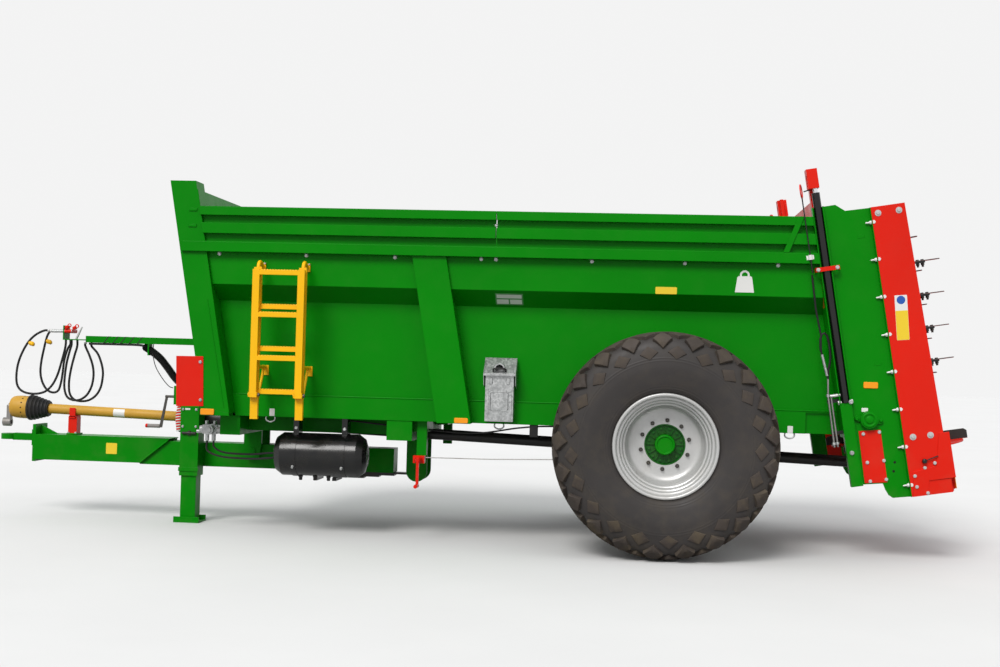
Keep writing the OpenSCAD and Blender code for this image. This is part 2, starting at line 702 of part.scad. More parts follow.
module ladder_upper() {
    rail_w = 55;
    rung_z = 30;
    ear = fold_rail_w / 2 + seat;
    ear_half = 18;
    color(YELLOW) {
        for (x = ladder_rails) {
            block([x - rail_w / 2, ladder_y - 15, 855], [x + rail_w / 2, ladder_y + 15, hook_z + 2]);
            top_hook(x);
            stand_off(x);
            for (side = [-1, 1])
                translate([x + side * (ear + 3), 0, 0])
                    block([-3, ladder_fold_y - ear_half, hinge_z - ear_half], [3, ladder_y - 15, hinge_z + ear_half]);
            bar_x(ladder_fold_y, hinge_z, hinge_pin_r, x - ear - 12, x + ear + 12);
        }
        for (z = fixed_rungs)
            block([ladder_rails[0] + rail_w / 2, ladder_y - 15, z - rung_z / 2],
                [ladder_rails[1] - rail_w / 2, ladder_y + 15, z + rung_z / 2]);
    }
}

// Folded section, hinged low down on the upper section
module ladder_lower() {
    rung_z = 32;
    foot = 20;
    color(YELLOW) {
        for (x = ladder_rails) difference() {
            block([x - fold_rail_w / 2, ladder_fold_y - 15, hinge_z - foot],
                [x + fold_rail_w / 2, ladder_fold_y + 15, 1920]);
            bar_x(ladder_fold_y, hinge_z, hinge_pin_r + seat, x - 60, x + 60);
        }
        for (z = fold_rungs)
            block([ladder_rails[0] + fold_rail_w / 2, ladder_fold_y - 15, z - rung_z / 2],
                [ladder_rails[1] - fold_rail_w / 2, ladder_fold_y + 15, z + rung_z / 2]);
    }
}

// Box for the wheel chocks: folded body, cheeks and a sloping lid with its front lip and handle
module chock_box() {
    wall = -low_y - 20 - seat;
    x = [262, 464];
    body_d = 106;
    lid_d = 130;
    lip_z = [1210, 1226];
    lid_out = 14;
    color(STEEL) {
        block([x[0], wall - body_d, 884], [x[1], wall, lip_z[0]]);
        for (edge = [x[0] + 12, x[1] - 24])
            block([edge, wall - body_d - 4, 930], [edge + 12, wall - body_d, 1120]);
        for (edge = [x[0] - lid_out, x[1] + lid_out - 4])
            yz(edge, edge + 4) polygon([[wall, 1118], [wall - body_d, 1140], [wall - lid_d, lip_z[0]], [wall, lip_z[0]]]);
        yz(x[0] - lid_out, x[1] + lid_out) polygon([
            [wall, lip_z[0]], [wall - lid_d, lip_z[0]], [wall - lid_d, lip_z[1]], [wall - 12, 1338], [wall, 1338]]);
        xz(wall - lid_d - 6, wall - lid_d / 2) difference() {
            translate([362, 1262]) circle(r = 38, $fn = 40);
            translate([362, 1262]) circle(r = 28, $fn = 40);
            translate([300, 1200]) square([120, 62]);
        }
    }
}

module air_tank() {
    y = -690;
    z = 590;
    r = 157;
    x0 = -1308;
    len = 700;
    color(BLACK) {
        translate([x0, y, z]) rotate([0, 90, 0]) rotate_extrude($fn = 64)
            polygon([[0, 0], [70, 5], [125, 25], [r, 70], [r, len - 70], [125, len - 25], [70, len - 5], [0, len]]);
        for (x = [x0 + 170, x0 + len - 170])
            difference() {
                union() {
                    bar_x(y, z, r + 5, x - 20, x + 20);
                    block([x - 20, y - 60, z], [x + 20, y + 60, sill_z - seat]);
                }
                bar_x(y, z, r - 1, x - 21, x + 21);
            }
    }
}

// Cast brake valve beside the frame's front beam, with its ports
module brake_valve() {
    y = -600;
    color(STEEL) {
        block([-1880, y - 30, 712], [-1770, y + 40, 778]);
        bar_y(-1822, 745, 38, y - 80, y + 40);
        bar_y(-1822, 745, 24, y - 92, y - 80);
        bar_x(y, 745, 32, -1770, frame_x0 - seat);
        bar_x(y, 745, 26, -1905, -1880);
        bar_x(y, 727, 14, -1930, -1880);
        for (x = [-1856, -1794]) translate([x, y, 778]) cylinder(r = 13, h = 30, $fn = 32);
        for (x = [-1850, -1800]) translate([x, y, 660]) cylinder(r = 15, h = 55, $fn = 32);
    }
}

// Parking brake: bracket under the frame's post, ribbed nut and hanging crank
module handbrake() {
    nut_y = -low_y - 10;
    color(RED) {
        block([-262, nut_y, 560], [-178, -low_y + 40 - seat, 614 - seat]);
        translate([-220, nut_y - 46, 585]) rotate([-90, 0, 0]) rotate_extrude($fn = 48)
            polygon([[0, 0], [17, 0], [20, 8], [17, 12], [24, 22], [21, 26], [30, 36], [30, 46], [0, 46]]);
        block([-230, nut_y - 54, 395], [-210, nut_y - 40, 600]);
        bar_y(-220, 402, 14, nut_y - 130, nut_y - 40);
    }
}

module guard_plate() {
    y = -post_y - seat;
    color(RED) {
        xz(y - 6, y) polygon([[-1985, 1288], [-1785, 1290], [-1774, 931], [-1974, 925]]);
        xz(y, -820) polygon([[-1985, 1288], [-1979, 1288], [-1968, 925], [-1974, 925]]);
    }
}

module hose_arm() {
    face = front_post_x + front_post_w / 2 - 110 - seat;
    color(GREEN) {
        block([-3045, -26, 1370], [front_lean_x(face - 1, 1422), 26, 1422]);
        xz(-36, 36) polygon([
            [front_lean_x(face - 12, 1330), 1330], [front_lean_x(face, 1330), 1330],
            [front_lean_x(face, 1470), 1470], [front_lean_x(face - 12, 1470), 1470]]);
        block([-3220, -60, 1385], [-3045, 60, 1393]);
        block([-3220, -60, 1385], [-3212, 60, 1500]);
        block([-2530, -40, 1280], [-2518, 40, 1370]);
    }
}

// Couplings parked on the rack, with a cap behind each
module hose_couplers() {
    coupler_y = [-45, -15, 15, 45];
    coupler_z = 1455;
    color(STEEL) for (y = coupler_y) bar_x(y, coupler_z, 13, -3330, -3220 - seat);
    color(RED) for (y = coupler_y) bar_x(y, coupler_z, 14.5, -3212 + seat, -3150);
}

// Hose routes: hand-picked points in X and Z, and the hose's distance from the middle
hose_a = [[-3330.3, 1455], [-3380, 1455], [-3450, 1420], [-3510, 1360], [-3560, 1270], [-3590, 1180], [-3600, 1090],
    [-3592, 1020], [-3564, 978], [-3517, 955], [-3455, 948], [-3395, 955], [-3344, 978], [-3296, 1030],
    [-3258, 1110], [-3229, 1215], [-3206, 1310], [-3200, 1355], [-3200, 1384.7]];
hose_b = [[-3330.3, 1455], [-3365, 1455], [-3395, 1410], [-3418, 1310], [-3436, 1210], [-3441, 1121], [-3424, 1045],
    [-3386, 985], [-3335, 960], [-3290, 975], [-3268, 1035], [-3256, 1120], [-3246, 1220], [-3222, 1310],
    [-3200, 1350], [-3200, 1384.7]];
hose_c = [[-3050, 1369.7], [-3050, 1340], [-3016, 1270], [-2988, 1198], [-2976, 1134], [-2978, 1070], [-2994, 1005],
    [-3030, 945], [-3085, 910], [-3145, 908], [-3190, 935], [-3212, 1000], [-3212, 1090], [-3200, 1200],
    [-3180, 1290], [-3165, 1345], [-3165, 1384.7]];
hose_d = [[-3010, 1369.7], [-3010, 1340], [-2960, 1285], [-2928, 1215], [-2911, 1144], [-2912, 1080], [-2926, 1010],
    [-2960, 950], [-3015, 910], [-3080, 898], [-3140, 910], [-3178, 955], [-3188, 1040], [-3175, 1150],
    [-3150, 1260], [-3130, 1335], [-3130, 1384.7]];

// Tube swept along a route of points, with a ring square to the route at each
module hose_tube(route, y, r) {
    sides = 8;
    n = len(route);
    tangent = [for (i = [0:n - 1]) let(a = route[max(i - 1, 0)], b = route[min(i + 1, n - 1)]) (b - a) / norm(b - a)];
    points = [for (i = [0:n - 1], k = [0:sides - 1]) let(a = 360 * k / sides)
        [route[i][0] - tangent[i][1] * r * cos(a), y + r * sin(a), route[i][1] + tangent[i][0] * r * cos(a)]];
    walls = [for (i = [0:n - 2], k = [0:sides - 1])
        [i * sides + k, i * sides + (k + 1) % sides, (i + 1) * sides + (k + 1) % sides, (i + 1) * sides + k]];
    caps = [[for (k = [sides - 1:-1:0]) k], [for (k = [0:sides - 1]) (n - 1) * sides + k]];
    polyhedron(points, concat(walls, caps));
}

module hose(i) {
    routes = [hose_a, hose_b, hose_c, hose_d];
    y = [-45, 45, -15, 15];
    color(BLACK) hose_tube(routes[i], y[i], 9);
}

// PTO shaft parked on its rest: guard tube, cone over the front joint, and the yoke that hangs from it
pto_slope = 1.6;
pto_x = -3333;
pto_z = 832;
cone_front = -160;

module pto_axis() {
    translate([pto_x, 0, pto_z]) rotate([0, 90 + pto_slope, 0]) children();
}

// Guard tube with the open bell in front of the cone
module pto_guard() {
    bell_len = 150;
    bell_t = 4;
    color(YELLOW) pto_axis() {
        translate([0, 0, seat]) cylinder(r = 39, h = drive_x0 - pto_x - seat, $fn = 48);
        translate([0, 0, cone_front - bell_len - seat]) rotate_extrude($fn = 48) polygon([
            [70 - bell_t, 0], [70, 0], [81, 12], [87, 34], [90, 70], [90, bell_len], [40, bell_len],
            [40, bell_len - bell_t], [90 - bell_t, bell_len - bell_t], [90 - bell_t, 70], [87 - bell_t, 36], [78, 15]]);
    }
}

// Moulded cover over the joint, in steps that narrow to the tube
module pto_cone() {
    steps = 6;
    step_l = -cone_front / steps;
    radii = [100, 96, 88, 80, 72, 65];
    color(BLACK) pto_axis() translate([0, 0, cone_front]) rotate_extrude($fn = 48) polygon(concat(
        [[0, 0]],
        [for (i = [0:steps - 1], p = [[0, 0], [2, 3], [2, step_l * 0.55], [-3, step_l * 0.7]])
            [radii[i] + p[0], i * step_l + p[1]]],
        [[60, -cone_front], [0, -cone_front]]));
}

// Joint inside the bell, with the front yoke hanging from it
module pto_yoke() {
    yoke_x = [-3712, -3650];
    color(STEEL) difference() {
        union() {
            pto_axis() translate([0, 0, yoke_x[0] - pto_x + 40]) cylinder(r = 26, h = cone_front - seat - yoke_x[0] + pto_x - 40, $fn = 40);
            bar_x(0, yoke_z, 34, yoke_x[0], yoke_x[1]);
            block([yoke_x[0] + 30, -22, yoke_z], [yoke_x[1], 22, pto_z + 20]);
        }
        bar_x(0, yoke_z, pto_bore_r, yoke_x[0] - 1, yoke_x[1] + 1);
    }
}

module pto_rest() {
    color(RED) {
        block([-3160, -40, drawbar_z + 12], [-3090, 40, 775]);
    }
    color(GREEN) block([-3165, -60, drawbar_z + seat], [-3080, 60, drawbar_z + 12]);
}

// Shaft tube under the floor, from the input gearbox to the beaters' gearbox
module drive_line() {
    gear_x = gate_x + 235;
    box_len = 300;
    front_z = 790;
    rear_z_end = 622;
    slope = atan((front_z - rear_z_end) / (gear_x - drive_x0));
    color(BLACK) translate([drive_x0, 0, front_z]) rotate([0, 90 + slope, 0]) {
        cylinder(r = 90, h = box_len, $fn = 48);
        cylinder(r = 42, h = (gear_x - drive_x0) / cos(slope) - 60, $fn = 48);
    }
}

// Gate, its posts and cylinders

module rear_posts() {
    for (side = [-1, 1]) rear_post(side);
}

module rear_post(side) {
    lip_y = rear_post_y;
    web_y = wide_y;
    color(GREEN) on_side(side) rear() {
        // Front flange, which reaches in to the narrow wall below the flare
        block([post_u0, -lip_y, post_w0], [post_u0 + wall_t, -web_y, post_w1]);
        block([post_u0, -web_y, -10], [post_u0 + wall_t, -low_y + wall_t, 900]);
        block([post_u0, -web_y - wall_t, post_w0], [post_u1, -web_y, post_w1]);
        block([post_u1 - wall_t, -lip_y, post_w0], [post_u1, -web_y, post_w1]);
        block([post_u0, -lip_y, post_w0], [post_u1, -lip_y + wall_t, pivot_w - 20]);
        // Foot bracket of the gate cylinder
        block([barrel_u - 34, -barrel_y - 20, pivot_w - 20], [barrel_u + 25, -barrel_y + 20, pivot_w - 5 - seat]);
    }
}

// Strap round each gate cylinder, from the side wall to the side panel
module cylinder_clamps() {
    w = [1150, 1180];
    color(RED) for (side = [-1, 1]) on_side(side) rear() {
        block([-60, -rear_post_y - 16, w[0]], [105, -rear_post_y - 10, w[1]]);
        block([-60, -rear_post_y - 10, w[0]], [-54, -wide_y - seat, w[1]]);
        block([99, -rear_post_y - 10, w[0]], [105, -chamber_y - 6 - seat, w[1]]);
    }
}

module side_panels() {
    for (side = [-1, 1]) side_panel(side);
}

module side_panel(side) {
    y0 = -chamber_y - 6;
    y1 = -chamber_y;
    u0 = post_u1 + seat;
    u1 = housing_u - seat;
    color(GREEN) on_side(side) rear() {
        xz(y0, y1) difference() {
            polygon([
                [u0, post_w1], [142, post_w1 + 1], [203, post_w1 - 50], [u1, post_w1 - 54], [u1, -468], [248, -462], [222, -440],
                [205, -400], [194, -355], [u0, -345]]);
            translate([rear_shaft_u, rear_shaft_w]) circle(r = 33, $fn = 40);
            polygon([[95, 5], [210, -3], [208, -335], [92, -325]]);
        }
        block([u1 - 6, y0 - 29, -468], [u1, y0, 1546]);
    }
}

// Red plates bolted over the panels' openings below the floor shaft
module cover_plates() {
    face = -chamber_y - 6 - seat;
    color(RED) for (side = [-1, 1]) on_side(side) rear()
        xz(face - 4, face) polygon([[80, 24], [230, 14], [226, -350], [72, -338]]);
}

// Folded housing beside each beater
module beater_housings() {
    for (side = [-1, 1]) beater_housing(side);
}

module beater_housing(side) {
    top_w = 1546;
    low_w = -468;
    rear_top = 604;
    rear_low = 650;
    out_y = -chamber_y - 41;
    t = 6;
    color(RED) on_side(side) rear() {
        xz(out_y, out_y + t) polygon([[housing_u, top_w], [rear_top, top_w], [rear_low, low_w], [housing_u, low_w]]);
        xz(out_y, -chamber_y + 54) polygon([[rear_top - t, top_w], [rear_top, top_w], [rear_low, low_w], [rear_low - t, low_w]]);
        block([housing_u, out_y, low_w], [housing_u + t, -chamber_y, top_w]);
        block([housing_u, -chamber_y - t, low_w], [590, -chamber_y, top_w]);
        block([housing_u, out_y, top_w - t], [rear_top - t / 2, -chamber_y, top_w]);
        xz(out_y - t - seat, out_y - seat) polygon([[610, -56], [678, -56], [680, -370], [500, -370], [480, -468], [380, -468], [400, -300], [560, -280]]);
    }
}

module beater_top_beam() {
    color(RED) rear() {
        block([400, -chamber_y + seat, 1440], [545, chamber_y - seat, 1540]);
    }
}

// Base with a gearbox under each beater and the input gearbox in the middle
module beater_base() {
    w0 = -330;
    w1 = -195;
    color(RED) rear() {
        block([400, -chamber_y + seat, w0], [560, chamber_y - seat, w1]);
        for (y = [-beater_y, beater_y]) translate([beater_u, y, w0 - 20]) cylinder(r = 95, h = w1 - w0 + 20, $fn = 48);
        block([250, -110, w0], [400, 110, w1]);
    }
}

// Lamp box on a bracket from the housing's inner sheet, with a raised lens on its rear face
module rear_lamps() {
    y = [-chamber_y + 34, -chamber_y + 174];
    w = [-470, -340];
    color(RED) for (side = [-1, 1]) on_side(side) rear() {
        block([655, y[0], w[0]], [672, y[1], w[1]]);
        block([672, y[0] + 10, w[0] + 12], [684, y[1] - 10, w[1] - 12]);
        xz(-chamber_y + 54 + seat, -chamber_y + 60) polygon([[600, -340], [655, -340], [655, -420], [620, -420]]);
        block([600, -chamber_y + 54 + seat, -346], [655, y[1] - 30, -340]);
    }
}

module barrels() {
    gland = 195;
    top_w = rod_foot_w + gate_stroke + gland;
    color(BLACK) for (side = [-1, 1]) on_side(side) rear() translate([barrel_u, -barrel_y, 0]) {
        difference() {
            translate([0, 0, pivot_w - 5]) cylinder(r = barrel_r, h = top_w - pivot_w + 5, $fn = 40);
            translate([0, 0, rod_foot_w - 10]) cylinder(r = rod_r + 0.5, h = top_w, $fn = 40);
        }
    }
}

// Steel pipes in front of each rear post and the hose that loops from them to the gate cylinder,
// as points in the leaning frame
pipe_front = [[-97.5, -66], [-92, 291], [-76, 409], [-96, 607], [-82, 717], [-91, 894], [-84, 1139]];
pipe_back = [[-73.6, -66], [-72.2, 289]];
hose_loop = [[-76, 415], [-66, 470], [-50, 510], [-39, 552], [-35, 600], [-35, 660], [-40, 705], [-56, 727],
    [-74, 722], [-90, 690], [-96, 640], [-97, 607]];

module cylinder_pipes() {
    y = -rear_post_y + 35;
    flange_u = post_u0 - seat;
    color(BLACK) for (side = [-1, 1]) on_side(side) rear() {
        hose_tube(pipe_front, y, 7);
        hose_tube(pipe_back, y, 7);
        hose_tube(hose_loop, y, 8);
        // Elbow towards the cylinder's foot, and clips on the post's flange
        block([-78, y - 9, 280], [flange_u, y + 9, 298]);
        for (w = [20, 240]) block([-104, y - 4, w], [flange_u, y + 4, w + 24]);
    }
}

module gate() {
    half = gate_t / 2;
    w1 = gate_w0 + gate_len;
    color(RED) rear() {
        block([-half, -gate_y, gate_w0], [-half + wall_t, gate_y, w1]);
        for (w = [gate_w0, gate_w0 + 340, gate_w0 + 680, gate_w0 + 1020, w1 - 50])
            block([-half + wall_t, -gate_y, w], [half, gate_y, w + 50]);
        for (side = [-1, 1]) on_side(side) {
            block([-half, -gate_y, w1], [half, -gate_y + 60, rod_eye_w + 92]);
            difference() {
                block([-30, -barrel_y - 32, rod_eye_w - 45], [45, -gate_y, rod_eye_w + 92]);
                block([-31, -barrel_y - 20, rod_eye_w - 46], [46, -barrel_y + 20, rod_eye_w + 50]);
            }
            translate([barrel_u, -barrel_y - 21, rod_eye_w]) rotate([-90, 0, 0])
                cylinder(r = gate_pin_r, h = 42, $fn = 32);
        }
    }
}

module rods() {
    color(STEEL) for (side = [-1, 1]) on_side(side) rear() difference() {
        union() {
            translate([barrel_u, -barrel_y, rod_foot_w]) cylinder(r = rod_r, h = rod_eye_w - rod_foot_w, $fn = 40);
            translate([barrel_u, -barrel_y - 19, rod_eye_w]) rotate([-90, 0, 0]) cylinder(r = 22, h = 38, $fn = 40);
        }
        translate([barrel_u, -barrel_y - 20, rod_eye_w]) rotate([-90, 0, 0])
            cylinder(r = gate_pin_r + seat, h = 40, $fn = 32);
    }
}

// One beater: tube with two flights, knives along them, and a spreading disc at its foot
module beater(side) {
    flight_w0 = -70;
    turns = 3;
    steps = 16;
    t = 8;
    knife_w0 = 250;
    weld = 1;
    knife_step = 60;
    color(RED) on_side(side) rear() translate([beater_u, -beater_y, 0]) {
        translate([0, 0, -195 + seat]) cylinder(r = 40, h = 30, $fn = 32);
        translate([0, 0, -165]) cylinder(r = 400, h = 10, $fn = 64);
        translate([0, 0, -155]) cylinder(r = beater_tube_r, h = 1585, $fn = 40);
        translate([0, 0, 1430]) cylinder(r = 35, h = 10 - seat, $fn = 32);
        for (i = [0:5]) rotate([0, 0, i * 60]) xz(-5, 5) polygon([
            [200, -156], [paddle_r, -156], [paddle_r, -100], [paddle_r - 20, -85], [250, -85], [200, -115]]);
        for (start = [0, 180]) flight(flight_w0, turns, steps, t, start);
    }
    color(BLACK) on_side(side) rear() translate([beater_u, -beater_y, 0])
        for (start = [0, 180], i = [0:13]) let(a = i * knife_step, w = knife_w0 + a / 360 * flight_pitch)
            rotate([0, 0, start + a + (knife_w0 - flight_w0) / flight_pitch * 360]) translate([0, 0, w + t]) {
                linear_extrude(12) polygon([[120, -34], [290, -34], [318, -20], [318, 20], [290, 34], [120, 34]]);
                translate([0, 0, 12 - weld]) linear_extrude(6 + weld)
                    polygon([[250, -24], [395, -24], [knife_r, -8], [knife_r, 4], [395, 24], [250, 24]]);
            }
}

// Helical plate round the tube
module flight(w0, turns, steps, t, start) {
    n = turns * steps;
    points = [for (i = [0:n], p = [[beater_tube_r - 3, 0], [flight_r, 0], [flight_r, t], [beater_tube_r - 3, t]])
        let(a = start + 360 * i / steps) [p[0] * cos(a), p[0] * sin(a), w0 + flight_pitch * i / steps + p[1]]];
    walls = [for (i = [0:n - 1], k = [0:3], half = [0, 1])
        let(a = 4 * i + k, b = 4 * i + (k + 1) % 4) half == 0 ? [a, b, b + 4] : [a, b + 4, a + 4]];
    polyhedron(points, concat(walls, [[3, 2, 1, 0], [4 * n, 4 * n + 1, 4 * n + 2, 4 * n + 3]]), convexity = 6);
}

drawbar();
towing_eye();
leaf_spring();
front_frame();
chassis();
axle();
jack_sleeve();
jack_crank();
jack_leg();
front_wall();
side_walls();
posts();
extension_boards();
floor();
floor_chain();
floor_shafts();
floor_drive();
ladder_upper();
ladder_lower();
chock_box();
air_tank();
brake_valve();
handbrake();
guard_plate();
hose_arm();
hose_couplers();
hose(0);  // hose_1
hose(1);  // hose_2
hose(2);  // hose_3
hose(3);  // hose_4
pto_guard();
pto_cone();
pto_yoke();
pto_rest();
drive_line();
rear_posts();
side_panels();
cover_plates();
beater_housings();
beater_top_beam();
beater_base();
rear_lamps();
barrels();
cylinder_clamps();
cylinder_pipes();
gate();
rods();
beater(-1);  // beater_left
beater(1);  // beater_right
tyre(-1);  // tyre_left
rim(-1);  // rim_left
hub(-1);  // hub_left
tyre(1);  // tyre_right
rim(1);  // rim_right
hub(1);  // hub_right
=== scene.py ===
# Manure spreader: camera, hoses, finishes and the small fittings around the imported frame.
# Metres. X runs to the machine's rear, Y to its right side, Z up from the ground.
import json
import math

import bpy
import numpy as np
from mathutils import Euler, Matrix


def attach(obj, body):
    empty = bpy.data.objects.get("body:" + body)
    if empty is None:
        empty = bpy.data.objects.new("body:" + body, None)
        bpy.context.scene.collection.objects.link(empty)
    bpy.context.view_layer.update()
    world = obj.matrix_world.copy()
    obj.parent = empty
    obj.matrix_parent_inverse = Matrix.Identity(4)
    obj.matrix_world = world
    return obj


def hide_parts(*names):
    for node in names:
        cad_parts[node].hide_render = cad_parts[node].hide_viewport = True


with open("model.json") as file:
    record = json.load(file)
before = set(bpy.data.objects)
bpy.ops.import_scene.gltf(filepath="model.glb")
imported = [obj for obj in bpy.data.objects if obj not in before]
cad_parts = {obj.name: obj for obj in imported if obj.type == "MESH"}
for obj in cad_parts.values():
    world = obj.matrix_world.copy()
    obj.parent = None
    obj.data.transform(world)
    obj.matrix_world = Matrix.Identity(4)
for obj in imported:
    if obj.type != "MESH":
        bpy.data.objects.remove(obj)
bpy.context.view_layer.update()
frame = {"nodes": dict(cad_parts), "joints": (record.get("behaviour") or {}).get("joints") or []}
nodes = frame["nodes"]
joints = {joint["name"]: joint for joint in frame["joints"]}
print("frame loaded:", len(nodes), "pieces")

# Camera, with its turn, tilt and roll in degrees
camera = {"place": (1.2826, -10.7522, 1.341), "turn": 5.375, "tilt": 0.9855, "roll": 1.584,
          "lens": 50, "sensor": 36, "far": 500}


def placeCamera(settings):
    # The camera looks along +Y, turned about Z, then tilted up, then rolled about its own line of sight
    data = bpy.data.cameras.new("camera")
    data.lens = settings["lens"]
    data.sensor_width = settings["sensor"]
    data.clip_end = settings["far"]
    view = bpy.data.objects.new("camera", data)
    bpy.context.collection.objects.link(view)
    turn = Euler((0, 0, math.radians(settings["turn"]))).to_matrix()
    tilt = Euler((math.radians(90 + settings["tilt"]), 0, 0)).to_matrix()
    roll = Euler((0, 0, math.radians(settings["roll"]))).to_matrix()
    view.matrix_world = (turn @ tilt @ roll).to_4x4()
    view.location = settings["place"]
    bpy.context.scene.camera = view


placeCamera(camera)


# Shapes are points, the corners of all faces in one list, and each face's number of corners

def unit(vectors):
    # Vectors divided by their lengths
    return vectors / np.linalg.norm(vectors, axis=-1, keepdims=True)


def loft(rings, loop=False):
    # Quads between neighbouring rings of equally many points, with a face over each end unless they close in a
    # loop, as on a torus
    rings = np.asarray(rings, float)
    rows, sides = rings.shape[:2]
    grid = np.arange(rows * sides).reshape(rows, sides)
    grid = np.vstack([grid, grid[:1]]) if loop else grid
    ahead = np.roll(grid, -1, axis=1)
    corners = np.stack([grid[:-1], ahead[:-1], ahead[1:], grid[1:]], axis=-1).reshape(-1)
    sizes = np.full(len(corners) // 4, 4)
    if not loop:
        corners = np.concatenate([corners, grid[0, ::-1], grid[-1]])
        sizes = np.concatenate([sizes, [sides, sides]])
    return outward([rings.reshape(-1, 3), corners, sizes])


def signedVolume(shape):
    # Sixth of the sum of a.(b x c) over the fan triangles of every face
    points, corners, sizes = shape
    first = np.repeat(np.cumsum(sizes) - sizes, sizes)
    last = np.repeat(np.cumsum(sizes) - 1, sizes)
    place = np.arange(len(corners))
    inner = (place > first) & (place < last)
    fans = [corners[first[inner]], corners[place[inner]], corners[place[inner] + 1]]
    a, b, c = (points[fan] for fan in fans)
    return np.einsum("ij,ij->", a, np.cross(b, c)) / 6


def outward(shape):
    # Turns every face over if the closed shape has a negative volume
    points, corners, sizes = shape
    return shape if signedVolume(shape) > 0 else [points, corners[::-1], sizes[::-1]]


def join(*shapes):
    # One shape of several, with each one's corners moved past the points before it
    starts = np.cumsum([0] + [len(shape[0]) for shape in shapes[:-1]])
    return [np.concatenate([shape[0] for shape in shapes]),
            np.concatenate([shape[1] + start for shape, start in zip(shapes, starts)]),
            np.concatenate([shape[2] for shape in shapes])]


def copies(shape, places, axes=None):
    # The shape at each place, each with its own axes as the columns of a matrix
    places = np.atleast_2d(np.asarray(places, float))
    axes = np.eye(3) if axes is None else np.asarray(axes, float)
    axes = np.broadcast_to(axes, (len(places), 3, 3))
    points = np.einsum("kij,nj->kni", axes, shape[0]) + places[:, None, :]
    corners = shape[1][None, :] + np.arange(len(places))[:, None] * len(shape[0])
    return [points.reshape(-1, 3), corners.reshape(-1), np.tile(shape[2], len(places))]


def mirrored(shape):
    # The shape on the machine's other side, with its faces turned over
    return [shape[0] * [1, -1, 1], shape[1][::-1], shape[2][::-1]]


def bothSides(shape):
    return join(shape, mirrored(shape))


def aroundAxis(shape, radius, count, height, start=0.0):
    # Copies on a circle about the local Z axis, each turned with its place; start is in degrees
    angle = math.radians(start) + np.arange(count) * 2 * np.pi / count
    cos, sin, zero = np.cos(angle), np.sin(angle), np.zeros(count)
    axes = np.stack([np.stack([cos, -sin, zero], -1), np.stack([sin, cos, zero], -1),
                     np.stack([zero, zero, zero + 1], -1)], axis=1)
    return copies(shape, np.stack([radius * cos, radius * sin, zero + height], axis=-1), axes)


def circle(radius, sides):
    # Points round a circle in the local XY plane
    angle = np.arange(sides) * 2 * np.pi / sides
    return np.stack([radius * np.cos(angle), radius * np.sin(angle)], axis=-1)


def lift(outline, height):
    # An outline of the XY plane at a height
    return np.column_stack([outline, np.full(len(outline), float(height))])


def turned(profile, sides):
    # A profile of radius and height turned about the local Z axis, closed along itself
    profile = np.asarray(profile, float)
    around = circle(1, sides)
    rings = np.stack([profile[:, 0] * around[:, :1], profile[:, 0] * around[:, 1:],
                      np.broadcast_to(profile[:, 1], (sides, len(profile)))], axis=-1)
    return loft(rings, loop=True)


def spindle(profile, sides):
    # A profile of radius and height turned about the local Z axis, closed by flat ends
    return loft([lift(circle(radius, sides), height) for radius, height in profile])


def smoothPath(points, step):
    # Catmull-Rom curve through the points, sampled about every step
    points = np.asarray(points, float)
    after = np.vstack([points[2:], 2 * points[-1] - points[-2]])
    before = np.vstack([2 * points[0] - points[1], points[:-2]])
    here, there = points[:-1], points[1:]
    count = max(2, int(np.ceil(np.linalg.norm(there - here, axis=1).max() / step)))
    t = (np.arange(count) / count)[None, :, None]
    p0, p1, p2, p3 = before[:, None], here[:, None], there[:, None], after[:, None]
    curve = 0.5 * (2 * p1 + (p2 - p0) * t + (2 * p0 - 5 * p1 + 4 * p2 - p3) * t ** 2
                   + (3 * p1 - p0 - 3 * p2 + p3) * t ** 3)
    return np.vstack([curve.reshape(-1, 3), points[-1:]])


def tube(path, radius, sides=12, across=(0, 1, 0)):
    # Rings square to the path, turned about it so that one of their axes stays square to across
    path = np.asarray(path, float)
    along = unit(np.gradient(path, axis=0))
    side = unit(np.cross(along, np.cross(np.asarray(across, float), along)))
    up = np.cross(side, along)
    ring = circle(1, sides)
    radius = np.broadcast_to(radius, len(path))[:, None, None]
    rings = path[:, None] + radius * (ring[None, :, :1] * side[:, None] + ring[None, :, 1:] * up[:, None])
    return loft(rings)


def inset(outline, depth):
    # Each corner of a counter-clockwise outline moved inwards by depth from both its edges
    edge = unit(np.roll(outline, -1, axis=0) - outline)
    normal = np.column_stack([-edge[:, 1], edge[:, 0]])
    before = np.roll(normal, 1, axis=0)
    share = 1 + np.einsum("ij,ij->i", normal, before)
    return outline + depth * (normal + before) / share[:, None]


def slab(outline, thickness, chamfer=0.001):
    # A plate on an outline in XY, from 0 to its thickness along Z, with a chamfered front edge
    outline = np.asarray(outline, float)
    area = np.cross(outline, np.roll(outline, -1, axis=0)).sum()
    outline = outline if area > 0 else outline[::-1]
    front = lift(inset(outline, chamfer), thickness)
    return loft([lift(outline, 0), lift(outline, thickness - chamfer), front])


def rounded(x0, x1, y0, y1, radius, steps=4):
    # A rectangle with a quarter circle round each corner's centre
    angle = (np.arange(4)[:, None] * np.pi / 2 + np.linspace(0, np.pi / 2, steps)).ravel()
    left, right, low, high = x0 + radius, x1 - radius, y0 + radius, y1 - radius
    centres = np.repeat([(right, high), (left, high), (left, low), (right, low)], steps, axis=0)
    return centres + radius * np.stack([np.cos(angle), np.sin(angle)], axis=-1)


def brick(low, high, chamfer=0.002):
    # A block between two corners with every edge along Z chamfered, and its top and bottom too
    low, high = np.array(low, float), np.array(high, float)
    size = high - low
    cut = min(chamfer, size.min() * 0.3)
    outline = rounded(0, size[0], 0, size[1], cut, 2)
    small = rounded(cut, size[0] - cut, cut, size[1] - cut, cut * 0.2, 2)
    rings = [lift(small, 0), lift(outline, cut), lift(outline, size[2] - cut), lift(small, size[2])]
    return copies(loft(rings), low)


